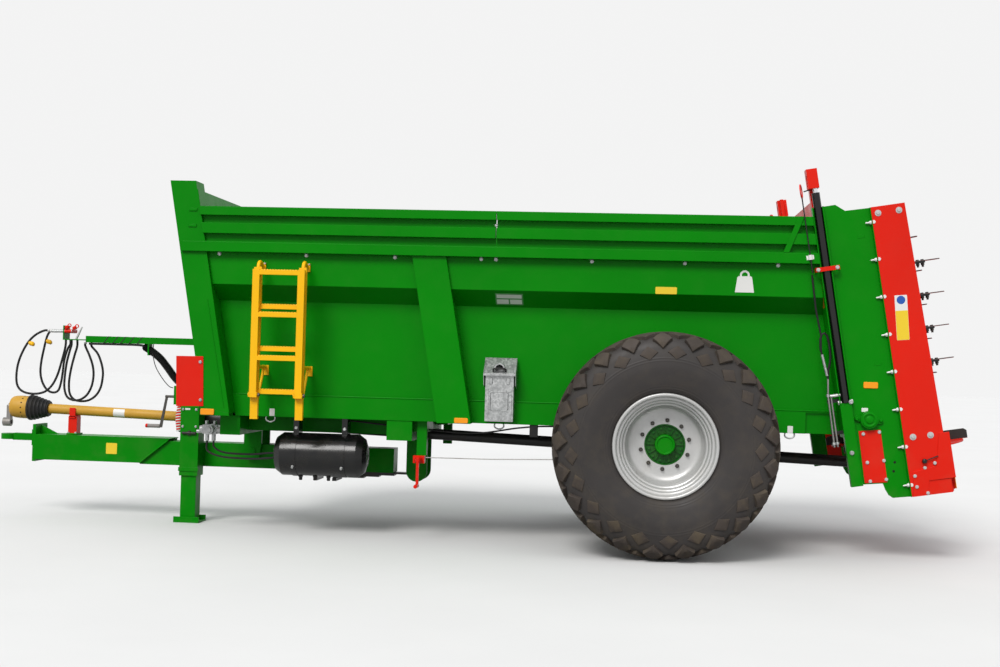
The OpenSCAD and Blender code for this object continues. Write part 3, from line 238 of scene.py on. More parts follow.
def hexHead(across, height, washer=None):
    # A bolt head on its washer: twelve-sided rings whose even corners are the hexagon's
    hexagon = 0.5 * across * np.where(np.arange(12) % 2 == 0, 1 / math.cos(math.pi / 6), 1.0)[:, None]
    washer = washer or 0.65 * across
    thickness = height * 0.25
    rings = [(washer, 0), (washer, thickness), (hexagon, thickness), (hexagon, height * 0.88),
             (0.45 * across, height)]
    return loft([lift(radius * circle(1, 12), z) for radius, z in rings])


# Frames of reference: columns are where a flat fitting's own X, Y and outward Z point
rearLean = math.asin(-joints["gate_lift"]["axis"][0])
rearU = np.array([math.cos(rearLean), 0, math.sin(rearLean)])
rearW = np.array([-math.sin(rearLean), 0, math.cos(rearLean)])
rearOrigin = np.array([2.793, 0, 0.863])
toRight = np.array([0, 1.0, 0])
leftFace = np.column_stack([[1, 0, 0], [0, 0, 1], -toRight])
leftRearFace = np.column_stack([rearU, rearW, -toRight])
rearUp = np.column_stack([rearU, toRight, rearW])
rearForward = np.column_stack([-toRight, rearW, -rearU])
rearBackward = np.column_stack([toRight, rearW, rearU])
alongX = np.column_stack([toRight, [0, 0, 1], [1, 0, 0]])


def rearPoint(u, y, w):
    # A point of the leaning rear frame: u behind the gate's plane, w up along the posts
    return rearOrigin + u * rearU + w * rearW + np.array([0, y, 0])


def rearPoints(places):
    # Points of the rear frame, by u, y and w each
    return [rearPoint(*place) for place in places]


def heads(across, height, places, axes=leftFace, washer=None):
    # Bolt heads at the places, facing out on the near side unless their axes say otherwise
    return copies(hexHead(across, height, washer), places, axes)


# Finishes

def newMaterial(name):
    material = bpy.data.materials.new(name)
    material.use_nodes = True
    return material, material.node_tree, material.node_tree.nodes["Principled BSDF"]


def addNode(tree, kind, inputs=None, **settings):
    # A node with its settings, whose inputs take either a value or another node's socket
    node = tree.nodes.new(kind)
    for key, value in settings.items():
        setattr(node, key, value)
    for key, value in (inputs or {}).items():
        if isinstance(value, bpy.types.NodeSocket):
            tree.links.new(value, node.inputs[key])
        else:
            node.inputs[key].default_value = value
    return node


def noise(tree, place, scale, detail=3.0, roughness=0.55):
    inputs = {"Vector": place, "Scale": scale, "Detail": detail, "Roughness": roughness}
    return addNode(tree, "ShaderNodeTexNoise", inputs).outputs["Fac"]


def remap(tree, value, low, high, start, end):
    inputs = {"Value": value, "From Min": low, "From Max": high, "To Min": start, "To Max": end}
    return addNode(tree, "ShaderNodeMapRange", inputs).outputs["Result"]


def product(tree, a, b):
    return addNode(tree, "ShaderNodeMath", {0: a, 1: b}, operation="MULTIPLY").outputs[0]


def total(tree, a, b):
    return addNode(tree, "ShaderNodeMath", {0: a, 1: b}, operation="ADD", use_clamp=True).outputs[0]


def mixColour(tree, share, a, b):
    # Colours are sockets or three numbers each
    colours = [c if isinstance(c, bpy.types.NodeSocket) else (*c, 1) for c in (a, b)]
    inputs = {0: share, 6: colours[0], 7: colours[1]}
    return addNode(tree, "ShaderNodeMix", inputs, data_type="RGBA").outputs[2]


def bump(tree, height, distance, strength, normal=None):
    inputs = {"Height": height, "Distance": distance, "Strength": strength}
    if normal is not None:
        inputs["Normal"] = normal
    return addNode(tree, "ShaderNodeBump", inputs).outputs["Normal"]


def roundEdges(tree, radius):
    # Normals that turn over an edge, as on a folded or ground one
    return addNode(tree, "ShaderNodeBevel", {"Radius": radius}, samples=4).outputs["Normal"]


# What every painted finish shares: its noises, where dirt starts and ends, and how dust thins out upwards
wear = {"dustColour": (0.21, 0.165, 0.1), "broadScale": 1.3, "dirtScale": 7.0, "dirtRoughness": 0.62,
        "middle": (0.3, 0.7), "dirtEdges": (0.46, 0.68), "dustFoot": 0.25, "dustLeft": 0.12, "spread": 0.06,
        "dullness": 0.9, "waveScale": 2.2, "grainStrength": 0.35, "coatRoughness": 0.12,
        "zoneEdges": (0.0005, 0.002)}


def surface(name, colour, roughness=0.35, metallic=0.0, specular=0.5, coat=0.0, dust=0.3, dustTop=1.0,
            grain=180.0, grainDepth=0.0003, wave=0.0, variation=0.06, edge=0.003, zone=None):
    # A finish with broad and fine variation of colour and roughness, dust that thins out upwards, and bump;
    # a zone has another colour between two heights along the leaning frame
    material, tree, shader = newMaterial(name)
    place = addNode(tree, "ShaderNodeTexCoord").outputs["Object"]
    broad = noise(tree, place, wear["broadScale"], 4)
    fine = noise(tree, place, grain, 2)
    dirt = noise(tree, place, wear["dirtScale"], 9, wear["dirtRoughness"])
    height = addNode(tree, "ShaderNodeSeparateXYZ", {0: place}).outputs["Z"]
    low = remap(tree, height, wear["dustFoot"], dustTop, 1.0, wear["dustLeft"])
    dirty = product(tree, remap(tree, dirt, *wear["dirtEdges"], 0.0, dust), low)
    dark = [c * (1 - variation) for c in colour]
    light = [min(1.0, c * (1 + variation)) for c in colour]
    base = mixColour(tree, remap(tree, broad, *wear["middle"], 0.0, 1.0), dark, light)
    if zone:
        along = addNode(tree, "ShaderNodeVectorMath", {0: place, 1: tuple(rearW)}, operation="DOT_PRODUCT")
        foot, top = (float(rearOrigin @ rearW) + height for height in zone[:2])
        above = remap(tree, along.outputs["Value"], foot, foot + wear["zoneEdges"][0], 0.0, 1.0)
        below = remap(tree, along.outputs["Value"], top, top + wear["zoneEdges"][1], 1.0, 0.0)
        base = mixColour(tree, product(tree, above, below), base, zone[2])
    tree.links.new(mixColour(tree, dirty, base, wear["dustColour"]), shader.inputs["Base Color"])
    patches = remap(tree, dirt, *wear["middle"], roughness - wear["spread"], roughness + wear["spread"])
    tree.links.new(total(tree, patches, product(tree, dirty, wear["dullness"])), shader.inputs["Roughness"])
    normal = roundEdges(tree, edge) if edge else None
    if wave:
        normal = bump(tree, noise(tree, place, wear["waveScale"], 1), wave, 1.0, normal)
    tree.links.new(bump(tree, fine, grainDepth, wear["grainStrength"], normal), shader.inputs["Normal"])
    shader.inputs["Metallic"].default_value = metallic
    shader.inputs["Specular IOR Level"].default_value = specular
    shader.inputs["Coat Weight"].default_value = coat
    shader.inputs["Coat Roughness"].default_value = wear["coatRoughness"]
    return material


spangle = {"cells": 90.0, "dark": (0.33, 0.34, 0.34), "pale": (0.55, 0.56, 0.56), "roughness": (0.34, 0.52),
           "clouds": 14.0, "cloudEdges": (0.4, 0.7), "cloudShare": 0.5, "cloudColour": (0.24, 0.25, 0.25),
           "cloudDepth": 0.0006, "cloudStrength": 0.5, "edge": 0.002, "metallic": 0.75}


def galvanisedSteel(look):
    # Zinc with pale spangles from a Voronoi pattern, clouded by a broad noise
    material, tree, shader = newMaterial("galvanised")
    place = addNode(tree, "ShaderNodeTexCoord").outputs["Object"]
    cells = addNode(tree, "ShaderNodeTexVoronoi", {"Vector": place, "Scale": look["cells"], "Randomness": 1.0})
    shade = addNode(tree, "ShaderNodeSeparateColor", {0: cells.outputs["Color"]}).outputs[0]
    cloud = noise(tree, place, look["clouds"], 6)
    colour = mixColour(tree, shade, look["dark"], look["pale"])
    cover = remap(tree, cloud, *look["cloudEdges"], 0.0, look["cloudShare"])
    tree.links.new(mixColour(tree, cover, colour, look["cloudColour"]), shader.inputs["Base Color"])
    tree.links.new(remap(tree, shade, 0.0, 1.0, *look["roughness"]), shader.inputs["Roughness"])
    normal = bump(tree, cloud, look["cloudDepth"], look["cloudStrength"], roundEdges(tree, look["edge"]))
    tree.links.new(normal, shader.inputs["Normal"])
    shader.inputs["Metallic"].default_value = look["metallic"]
    return material


# Each finish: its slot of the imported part, its material's name, colour and roughness, and further settings
finishTable = {
    "green": ("green_paint", "green paint", (0.0006, 0.222, 0.0012), 0.36,
              {"specular": 0.1, "dust": 0.1, "dustTop": 0.95, "wave": 0.0018, "edge": 0.004}),
    # The hub flange's copy of the green paint, darker: painted shade for the ring deep inside the rim, while
    # the cap keeps the plain green
    "hubGreen": ("green_paint", "hub green", (0.002, 0.105, 0.004), 0.42,
                 {"specular": 0.3, "variation": 0.2, "edge": 0}),
    "red": ("red_paint", "red paint", (0.74, 0.014, 0.004), 0.34,
            {"specular": 0.15, "coat": 0.03, "dust": 0.12, "wave": 0.0015}),
    "beaterRed": ("red_paint", "beater red", (0.7, 0.014, 0.004), 0.38,
                  {"specular": 0.15, "dust": 0.2, "zone": (-0.1545, -0.083, (0.035, 0.032, 0.03))}),
    "yellow": ("yellow_paint", "yellow paint", (0.95, 0.5, 0.004), 0.36,
               {"specular": 0.22, "coat": 0.03, "dust": 0.14}),
    "black": ("black_paint", "black paint", (0.009, 0.009, 0.0095), 0.4,
              {"specular": 0.3, "coat": 0.04, "dust": 0.2}),
    "glossBlack": ("black_paint", "gloss black", (0.004, 0.004, 0.0045), 0.24,
                   {"specular": 0.35, "coat": 0.12, "dust": 0.05, "edge": 0.002, "grainDepth": 0.0001}),
    "grip": ("black_paint", "grey grip", (0.27, 0.25, 0.24), 0.5, {"specular": 0.3, "dust": 0.2, "edge": 0}),
    "silver": ("rim_silver", "rim silver", (0.52, 0.52, 0.515), 0.36,
               {"metallic": 0.35, "specular": 0.45, "dust": 0.22, "edge": 0, "grainDepth": 0.0001}),
    "steel": ("worn_steel", "worn steel", (0.3, 0.29, 0.28), 0.42,
              {"metallic": 0.85, "dust": 0.35, "edge": 0.002, "variation": 0.25}),
    "chain": ("worn_steel", "chain steel", (0.16, 0.14, 0.12), 0.5,
              {"metallic": 0.7, "dust": 0.5, "edge": 0.002, "variation": 0.3}),
    "blade": ("worn_steel", "dark blade", (0.1, 0.096, 0.092), 0.45,
              {"metallic": 0.6, "dust": 0.2, "edge": 0.001, "variation": 0.25}),
    "nut": ("worn_steel", "dark nut", (0.07, 0.065, 0.06), 0.45, {"metallic": 0.6, "dust": 0.2, "edge": 0}),
    "chrome": ("chromed_rod", "chromed rod", (0.75, 0.76, 0.78), 0.1,
               {"metallic": 1.0, "dust": 0.05, "edge": 0.001, "grainDepth": 0.00005}),
    "plate": ("galvanised", "type plate", (0.1, 0.3, 0.11), 0.4,
              {"metallic": 0.3, "dust": 0.1, "edge": 0.001}),
    "ochre": ("guard_yellow", "ochre guard", (0.6, 0.33, 0.035), 0.5,
              {"specular": 0.35, "dust": 0.35, "edge": 0.002, "variation": 0.14}),
    "rubber": ("hose_rubber", "hose rubber", (0.012, 0.012, 0.013), 0.55,
               {"specular": 0.25, "dust": 0.15, "edge": 0, "variation": 0.2}),
    "tread": ("tyre_rubber", "tyre rubber", (0.053, 0.043, 0.037), 0.65,
              {"specular": 0.22, "dustTop": 2.2, "edge": 0, "grain": 70, "grainDepth": 0.0012,
               "variation": 0.35}),
    "sidewall": ("tyre_rubber", "tyre side wall", (0.036, 0.032, 0.031), 0.5,
                 {"specular": 0.28, "dust": 0.1, "dustTop": 2.4, "edge": 0, "grain": 300,
                  "grainDepth": 0.0002, "variation": 0.25}),
    "label": ("rim_silver", "white label", (0.8, 0.8, 0.78), 0.4,
              {"dust": 0.1, "edge": 0.0005, "grainDepth": 0.0001}),
    "warning": ("yellow_paint", "yellow label", (0.86, 0.6, 0.02), 0.4,
                {"dust": 0.1, "edge": 0.0005, "grainDepth": 0.0001}),
    "reflector": ("yellow_paint", "orange reflector", (0.96, 0.33, 0.006), 0.3,
                  {"specular": 0.3, "coat": 0.15, "dust": 0.05, "edge": 0.001}),
    "lens": ("red_paint", "red lens", (0.45, 0.006, 0.004), 0.15, {"coat": 0.6, "dust": 0.1, "edge": 0.001}),
    "blue": ("black_paint", "blue disc", (0.01, 0.09, 0.42), 0.4, {"dust": 0.1, "edge": 0.0005}),
    # Near-black finish standing for holes and vents: painted shade inside openings
    "dark": ("black_paint", "dark void", (0.006, 0.006, 0.006), 0.8,
             {"specular": 0.2, "dust": 0.2, "edge": 0}),
}
finishes = {name: (slot, surface(*look, **settings)) for name, (slot, *look, settings) in finishTable.items()}
finishes["zinc"] = ("galvanised", galvanisedSteel(spangle))

nodeFinish = {
    "green": "drawbar front_frame chassis jack_sleeve jack_leg front_wall side_walls posts extension_boards "
             "floor_drive hose_arm rear_posts side_panels hub_left hub_right towing_eye",
    "red": "handbrake guard_plate pto_rest cover_plates beater_housings beater_top_beam beater_base "
           "rear_lamps cylinder_clamps gate",
    "beaterRed": "beater_left beater_right", "nut": "jack_crank", "yellow": "ladder_upper ladder_lower",
    "black": "leaf_spring axle drive_line", "glossBlack": "air_tank barrels", "ochre": "pto_guard",
    "rubber": "pto_cone cylinder_pipes", "zinc": "chock_box brake_valve hose_couplers",
    "steel": "pto_yoke floor floor_shafts", "chain": "floor_chain", "chrome": "rods",
    "silver": "rim_left rim_right", "tread": "tyre_left tyre_right",
}
for finish, names in nodeFinish.items():
    for name in names.split():
        nodes[name].data.materials.clear()
        nodes[name].data.materials.append(finishes[finish][1])
print("finishes on the frame's pieces")


def addPiece(name, shape, finish, body="body", smoothAngle=35):
    # One object at the origin from a shape, riding on its body, with its finish's material
    points, corners, sizes = shape
    mesh = bpy.data.meshes.new(name)
    mesh.vertices.add(len(points))
    mesh.vertices.foreach_set("co", np.ascontiguousarray(points, np.float32).ravel())
    mesh.loops.add(len(corners))
    mesh.loops.foreach_set("vertex_index", np.ascontiguousarray(corners, np.int32))
    mesh.polygons.add(len(sizes))
    mesh.polygons.foreach_set("loop_start", (np.cumsum(sizes) - sizes).astype(np.int32))
    mesh.update(calc_edges=True)
    mesh.shade_smooth()
    mesh.set_sharp_from_angle(angle=math.radians(smoothAngle))
    ownSlot, material = finishes[finish]
    mesh.materials.append(material)
    piece = bpy.data.objects.new(name, mesh)
    bpy.context.collection.objects.link(piece)
    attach(piece, body)
    return piece


# Hoses: how far each lies from the middle, and its route's points in X and Z
hoses = {
    "radius": 0.009, "sides": 14, "ferruleWall": 0.003,
    "dustCaps": {"hose_1": (-3.507, 1.354), "hose_2": (-3.402, 1.372)},
    "capProfile": [(0.008, 0), (0.012, 0.004), (0.0185, 0.01), (0.0185, 0.04), (0.012, 0.048)],
    "capAxes": [[0, 0, 0.97], [0, 1, 0], [-1, 0, -0.24]],
    "routes": {
        "hose_1": (-0.045, [
            (-3.3303, 1.455), (-3.38, 1.455), (-3.45, 1.42), (-3.51, 1.36), (-3.56, 1.27), (-3.59, 1.18),
            (-3.6, 1.09), (-3.592, 1.02), (-3.564, 0.978), (-3.517, 0.955), (-3.455, 0.948), (-3.395, 0.955),
            (-3.344, 0.978), (-3.296, 1.03), (-3.258, 1.11), (-3.229, 1.215), (-3.206, 1.31), (-3.2, 1.355),
            (-3.2, 1.3847)]),
        "hose_2": (0.045, [
            (-3.3303, 1.455), (-3.365, 1.455), (-3.395, 1.41), (-3.418, 1.31), (-3.436, 1.21), (-3.441, 1.121),
            (-3.424, 1.045), (-3.386, 0.985), (-3.335, 0.96), (-3.29, 0.975), (-3.268, 1.035), (-3.256, 1.12),
            (-3.246, 1.22), (-3.222, 1.31), (-3.2, 1.35), (-3.2, 1.3847)]),
        "hose_3": (-0.015, [
            (-3.05, 1.3697), (-3.05, 1.34), (-3.016, 1.27), (-2.988, 1.198), (-2.976, 1.134), (-2.978, 1.07),
            (-2.994, 1.005), (-3.03, 0.945), (-3.085, 0.91), (-3.145, 0.908), (-3.19, 0.935), (-3.212, 1.0),
            (-3.212, 1.09), (-3.2, 1.2), (-3.18, 1.29), (-3.165, 1.345), (-3.165, 1.3847)]),
        "hose_4": (0.015, [
            (-3.01, 1.3697), (-3.01, 1.34), (-2.96, 1.285), (-2.928, 1.215), (-2.911, 1.144), (-2.912, 1.08),
            (-2.926, 1.01), (-2.96, 0.95), (-3.015, 0.91), (-3.08, 0.898), (-3.14, 0.91), (-3.178, 0.955),
            (-3.188, 1.04), (-3.175, 1.15), (-3.15, 1.26), (-3.13, 1.335), (-3.13, 1.3847)]),
    },
}


def pathLength(path):
    return float(np.linalg.norm(np.diff(path, axis=0), axis=1).sum())


for name, (y, route) in hoses["routes"].items():
    path = smoothPath([(x, y, z) for x, z in route], 0.012)
    hose = addPiece(name.replace("_", "_rubber_"), tube(path, hoses["radius"], hoses["sides"]), "rubber")
    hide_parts(name)
    ferrule = tube(path[1:5], hoses["radius"] + hoses["ferruleWall"], hoses["sides"])
    pieces = [addPiece(name.replace("_", "_ferrule_"), ferrule, "silver")]
    if name in hoses["dustCaps"]:
        x, z = hoses["dustCaps"][name]
        cap = copies(spindle(hoses["capProfile"], 24), (x, y, z), hoses["capAxes"])
        pieces.append(addPiece(name.replace("_", "_dust_cap_"), cap, "yellow"))
    print(name, "is", round(pathLength(path), 3), "m long")

# Wheels: tyre with rhombic tread blocks, stepped rim, hub with its bolts and cap. The carcass is half width
# and radius from the bead to the crown; a ridge is its radius, height and width; a row of blocks is its place
# along the section from the crown, half length, half width, height, and its turn as a share of the pitch
wheel = {
    "sides": 144,
    "carcass": [(0.2396, 0.3336), (0.2415, 0.3586), (0.262, 0.376), (0.278, 0.42), (0.287, 0.47),
                (0.2925, 0.52), (0.2915, 0.56), (0.287, 0.6), (0.279, 0.64), (0.27, 0.675), (0.254, 0.705),
                (0.232, 0.724), (0.2, 0.735), (0.12, 0.746), (0.0, 0.7515)],
    "widest": 0.2926,
    "ridges": [(0.388, 0.0022, 0.004), (0.404, 0.0014, 0.003), (0.575, 0.0014, 0.0025),
               (0.592, 0.0016, 0.003)],
    "liner": [(0.228, 0.345), (0.262, 0.42), (0.276, 0.56), (0.25, 0.69), (0.12, 0.728)],
    "linerCrown": 0.73,
    "blockCount": 21,
    "blockRows": [(0.0, 0.064, 0.072, 0.024, 0.5), (0.086, 0.066, 0.074, 0.024, 0.0),
                  (0.172, 0.066, 0.074, 0.025, 0.5), (0.256, 0.066, 0.071, 0.028, 0.0),
                  (0.342, 0.05, 0.076, 0.009, 0.5)],
    "blockTurn": 3.1, "blockWidthRadius": 0.74, "blockSunk": 0.003,
    "rim": [(0.358, 0.244), (0.3568, 0.25), (0.3525, 0.2536), (0.345, 0.2542), (0.3375, 0.2515),
            (0.333, 0.2445), (0.3315, 0.236), (0.33, 0.228), (0.325, 0.2225), (0.3175, 0.2215),
            (0.3115, 0.2175), (0.309, 0.209), (0.3075, 0.196), (0.304, 0.189), (0.297, 0.1865), (0.2915, 0.181),
            (0.2895, 0.17), (0.288, 0.156), (0.2845, 0.149), (0.277, 0.146), (0.2715, 0.14), (0.2695, 0.128),
            (0.2685, 0.085), (0.2665, 0.068), (0.262, 0.054), (0.254, 0.042), (0.243, 0.0325), (0.23, 0.026),
            (0.212, 0.0225), (0.18, 0.0215), (0.1412, 0.0215), (0.1412, 0.006), (0.24, 0.006), (0.296, 0.04),
            (0.296, -0.02), (0.322, -0.116), (0.325, -0.232), (0.35, -0.24), (0.35, -0.2545), (0.358, -0.2545),
            (0.358, -0.242), (0.333, -0.24), (0.33, -0.124), (0.304, -0.02), (0.304, 0.159), (0.33, 0.194),
            (0.333, 0.24), (0.345, 0.242)],
    "studCircle": 0.1675, "studCount": 10, "studTurn": 85.4, "studFace": 0.0215, "nut": (0.025, 0.016, 0.0145),
    "stud": [(0.0085, 0), (0.0085, 0.026), (0.0065, 0.029)],
    "cap": [(0.03, 0.0625), (0.05, 0.063), (0.0535, 0.0685), (0.0595, 0.0712), (0.0655, 0.069),
            (0.069, 0.061), (0.0705, 0.045), (0.0712, 0.002), (0.069, -0.004), (0.0453, -0.004)],
    "hub": [(0.066, -0.002), (0.075, -0.001), (0.128, -0.001), (0.1315, 0.004), (0.1325, 0.0205),
            (0.1402, 0.0205), (0.1405, -0.0003), (0.195, -0.0003), (0.195, -0.02), (0.11, -0.026),
            (0.11, -0.06), (0.19, -0.064), (0.2, -0.072), (0.2, -0.215), (0.188, -0.215), (0.188, -0.078),
            (0.0453, -0.078), (0.0453, -0.004)],
    "hubBolts": 12, "hubBolt": (0.019, 0.014), "hubBoltCircle": 0.112, "hubRibCircle": 0.099,
    "hubRib": [(-0.026, -0.0035, -0.003), (0.026, 0.0035, 0.013)],
    "valve": [(-0.262, 0.11, 0.095), (-0.266, 0.1125, 0.13), (-0.272, 0.115, 0.15)],
    "valveRadii": [0.006, 0.0045, 0.0035],
}


def tyreSection(settings, steps=150):
    # Half the section from the crown to the bead, evenly spaced along its arc, with small gaussian ridges
    dense = smoothPath([(y, 0, r) for y, r in settings["carcass"][::-1]], 0.002)[:, [0, 2]]
    arc = np.concatenate([[0], np.cumsum(np.linalg.norm(np.diff(dense, axis=0), axis=1))])
    s = np.linspace(0, arc[-1], steps)
    line = np.column_stack([np.interp(s, arc, dense[:, 0]), np.interp(s, arc, dense[:, 1])])
    along = unit(np.gradient(line, axis=0))
    normal = np.column_stack([-along[:, 1], along[:, 0]])
    normal *= np.sign(normal[:1, 1])
    for radius, height, width in settings["ridges"]:
        bulge = height * np.exp(-((line[:, 1] - radius) / width) ** 2)
        line = line + normal * (bulge * (line[:, 0] > 0.2))[:, None]
    return s, line, normal


def carcassShape(settings):
    # The whole section turned round the axle: crown in the middle, liner behind
    line = tyreSection(settings)[1]
    liner = np.array(settings["liner"])
    back = np.vstack([liner, [(0.0, settings["linerCrown"])], (liner * [-1, 1])[::-1]])
    section = np.vstack([line[::-1], line[1:] * [-1, 1], back[::-1]])
    return turned(section[:, ::-1], settings["sides"])


def blockShape(settings, centre, halfLength, halfWidth, height):
    # Rhombic rings in arc length and angle, laid on the section: foot, top edge, top, middle of the top
    s, line, normal = tyreSection(settings)
    corner = np.array([[1, 0], [0, 1], [-1, 0], [0, -1]], float)
    part = (np.arange(4) / 4)[None, :, None]
    rhombus = (corner[:, None] * (1 - part) + np.roll(corner, -1, axis=0)[:, None] * part).reshape(-1, 2)
    ground = joints["wheel_left_spin"]["pos_m"][2]
    rings = []
    for share, rise in ((1.0, -settings["blockSunk"]), (0.93, height * 0.86), (0.87, height), (0.4, height)):
        along = centre + share * halfLength * rhombus[:, 0]
        arc = np.abs(along)
        radius = np.interp(arc, s, line[:, 1]) + rise * np.interp(arc, s, normal[:, 1])
        radius = np.minimum(radius, ground - 0.0001)
        across = np.interp(arc, s, line[:, 0]) + rise * np.interp(arc, s, normal[:, 0])
        across = np.minimum(across, settings["widest"]) * np.sign(along)
        angle = share * halfWidth * rhombus[:, 1] / settings["blockWidthRadius"]
        rings.append(np.stack([radius * np.cos(angle), radius * np.sin(angle), across], axis=-1))
    return np.array(rings)


def treadShape(settings):
    # Every row's block copied round the tyre, and mirrored to its other half except on the crown
    count = settings["blockCount"]
    shapes = []
    for *sizes, turn in settings["blockRows"]:
        rings = blockShape(settings, *sizes)
        start = 90 + settings["blockTurn"] + turn * 360 / count
        for mirror in (1, -1) if sizes[0] > 0 else (1,):
            shapes.append(aroundAxis(loft(rings * [1, 1, mirror]), 0, count, 0, start))
    return join(*shapes)


def buildWheel(settings, label):
    body = "wheel_" + label
    centre = np.array(joints[body + "_spin"]["pos_m"])
    centre[1] = -abs(centre[1])

    def place(shape):
        shape = copies(shape, centre, leftFace)
        return shape if label == "left" else mirrored(shape)

    carcass = addPiece("carcass_" + label, place(carcassShape(settings)), "sidewall", body, smoothAngle=50)
    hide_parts("tyre_" + label)
    tread = addPiece("tread_blocks_" + label, place(treadShape(settings)), "tread", body, smoothAngle=30)
    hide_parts("tyre_" + label)
    rim = addPiece("rim_steps_" + label, place(turned(settings["rim"], 128)), "silver", body, smoothAngle=40)
    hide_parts("rim_" + label)
    nut = join(hexHead(*settings["nut"]), spindle(settings["stud"], 12))
    studs = aroundAxis(nut, settings["studCircle"], settings["studCount"], settings["studFace"],
                       settings["studTurn"])
    addPiece("wheel_nuts_" + label, place(studs), "nut", body)
    cap = addPiece("hub_cap_" + label, place(spindle(settings["cap"], 96)), "green", body, smoothAngle=40)
    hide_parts("hub_" + label)
    count = settings["hubBolts"]
    ribs = aroundAxis(brick(*settings["hubRib"], 0.0015), settings["hubRibCircle"], count, 0)
    bolts = aroundAxis(hexHead(*settings["hubBolt"]), settings["hubBoltCircle"], count, -0.001, 180 / count)
    flange = join(turned(settings["hub"], 96), ribs, bolts)
    # The flange with its ribs and bolts takes the darker copy of the green: painted shade
    flange = addPiece("hub_flange_" + label, place(flange), "hubGreen", body, smoothAngle=40)
    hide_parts("hub_" + label)
    addPiece("valve_" + label, place(tube(settings["valve"], settings["valveRadii"], 10)), "zinc", body)


for label in ("left", "right"):
    buildWheel(wheel, label)
print("wheels")

# Bolt heads on the outer faces: the face's Y, width across the flats, height, finish, and X and Z of each
sideBolts = {
    "rail_bolts": (-0.925, 0.022, 0.013, "zinc",
                   [(x, 2.037) for x in (-1.7, -1.059, -0.412, 0.21, 0.315, 0.997, 1.649, 2.294)]),
    "board_bolts": (-0.933, 0.018, 0.01, "zinc", [(0.311, 2.279)]),
    "housing_bolts": (-0.975, 0.022, 0.012, "silver",
                      [(2.961, 2.41), (3.102, 2.433), (3.231, 0.873), (3.348, 0.89)]),
    "cover_bolts": (-0.944, 0.019, 0.01, "silver",
                    [(2.901, 0.881), (3.01, 0.898), (2.933, 0.685), (3.045, 0.702), (2.956, 0.556),
                     (3.064, 0.573)]),
    "lower_plate_bolts": (-0.981, 0.019, 0.01, "silver",
                          [(3.249, 0.606), (3.264, 0.532), (3.339, 0.493), (3.38, 0.7)]),
    # Short near-black heads on the panel: painted shade standing for two holes
    "panel_hole_shade": (-0.94, 0.014, 0.002, "dark", [(3.119, 0.693), (3.113, 0.631)]),
    "post_bolts": (-0.985, 0.024, 0.014, "zinc", [(2.821, 0.75), (2.806, 1.101)]),
    "guard_bolts": (-0.966, 0.019, 0.01, "zinc", [(-1.805, 1.248), (-1.796, 0.975)]),
    "lamp_arm_bolts": (-0.975, 0.019, 0.01, "silver", [(3.316, 0.664)]),
}
widerWashers = {"housing_bolts": 0.0225}
nearSideOnly = ["guard_bolts"]
for name, (face, across, height, finish, places) in sideBolts.items():
    places = [(x, face, z) for x, z in places]
    shape = heads(across, height, places, washer=widerWashers.get(name))
    addPiece(name, shape if name in nearSideOnly else bothSides(shape), finish)

# Reflectors: the face's Y, then left, right, foot and top; stickers: finish, the same, and the corner radius
reflectors = {"front": (-0.963, -1.794, -1.693, 0.869, 0.913),
              "middle": (-0.9605, 0.052, 0.15, 0.866, 0.904),
              "rear": (-0.9405, 2.895, 2.994, 1.197, 1.241)}
stickers = {
    "wall_sticker": ("warning", -0.925, 1.448, 1.598, 1.818, 1.868, 0.006),
    "drawbar_sticker": ("warning", -0.11, -2.816, -2.727, 0.495, 0.581, 0.006),
    "sill_sticker_front": ("label", -0.8, -1.328, -1.29, 0.868, 0.922, 0.004),
    "sill_sticker_rear": ("label", -0.8, 2.4, 2.438, 0.864, 0.914, 0.004),
    "jack_sticker": ("label", -0.267, -2.134, -2.093, 0.868, 0.882, 0.002),
    "panel_sticker": ("label", -0.94, 2.886, 2.93, 1.034, 1.061, 0.003),
}


def sideSheet(outline, face, thickness=0.0012):
    # A thin plate on the near side's face, its outline by X and Z
    return copies(slab(outline, thickness, thickness * 0.4), (0, face, 0), leftFace)


lenses = [sideSheet(rounded(*extent, 0.008), face, 0.006) for face, *extent in reflectors.values()]
addPiece("side_reflectors", bothSides(join(*lenses)), "reflector")
for name, (finish, face, *extent) in stickers.items():
    addPiece(name, sideSheet(rounded(*extent), face), finish)

# The sign on the housing, leaning half as much. Its middle is by u, y and w; each sheet has its finish,
# extent, corner radius and thickness
sign = {"middle": (0.4755, -0.975, 0.762), "lean": 4.6,
        "sheets": {"label_back": ("label", -0.0425, 0.0425, -0.155, 0.155, 0.005, 0.0006),
                   "label_panel": ("warning", -0.0415, 0.0415, -0.154, 0.048, 0.003, 0.001)},
        "discHeight": 0.1215, "disc": [(0.029, 0), (0.029, 0.0011)]}
lean = math.radians(sign["lean"])
signFace = np.column_stack([[math.cos(lean), 0, math.sin(lean)], [-math.sin(lean), 0, math.cos(lean)],
                            -toRight])
for name, (finish, *extent, thickness) in sign["sheets"].items():
    sheet = slab(rounded(*extent), thickness, 0.0002)
    addPiece(name, copies(sheet, rearPoint(*sign["middle"]), signFace), finish)
disc = copies(spindle(sign["disc"], 40), (0, sign["discHeight"], 0))
addPiece("label_disc", copies(disc, rearPoint(*sign["middle"]), signFace), "blue")

# A weight's plain white outline on the wall, by X and Z, with its bow's radii and thickness
weight = {"face": -0.925, "outline": [(2.001, 1.842), (2.133, 1.842), (2.118, 1.947), (2.11, 1.956),
                                      (2.024, 1.956), (2.016, 1.947)],
          "bow": [(0.0205, 0), (0.034, 0), (0.034, 0.0009), (0.0205, 0.0009)], "bowMiddle": (2.067, 1.963)}
x, z = weight["bowMiddle"]
bow = copies(turned(weight["bow"], 40), (x, weight["face"], z), leftFace)
addPiece("weight_plate", join(sideSheet(weight["outline"], weight["face"]), bow), "label")

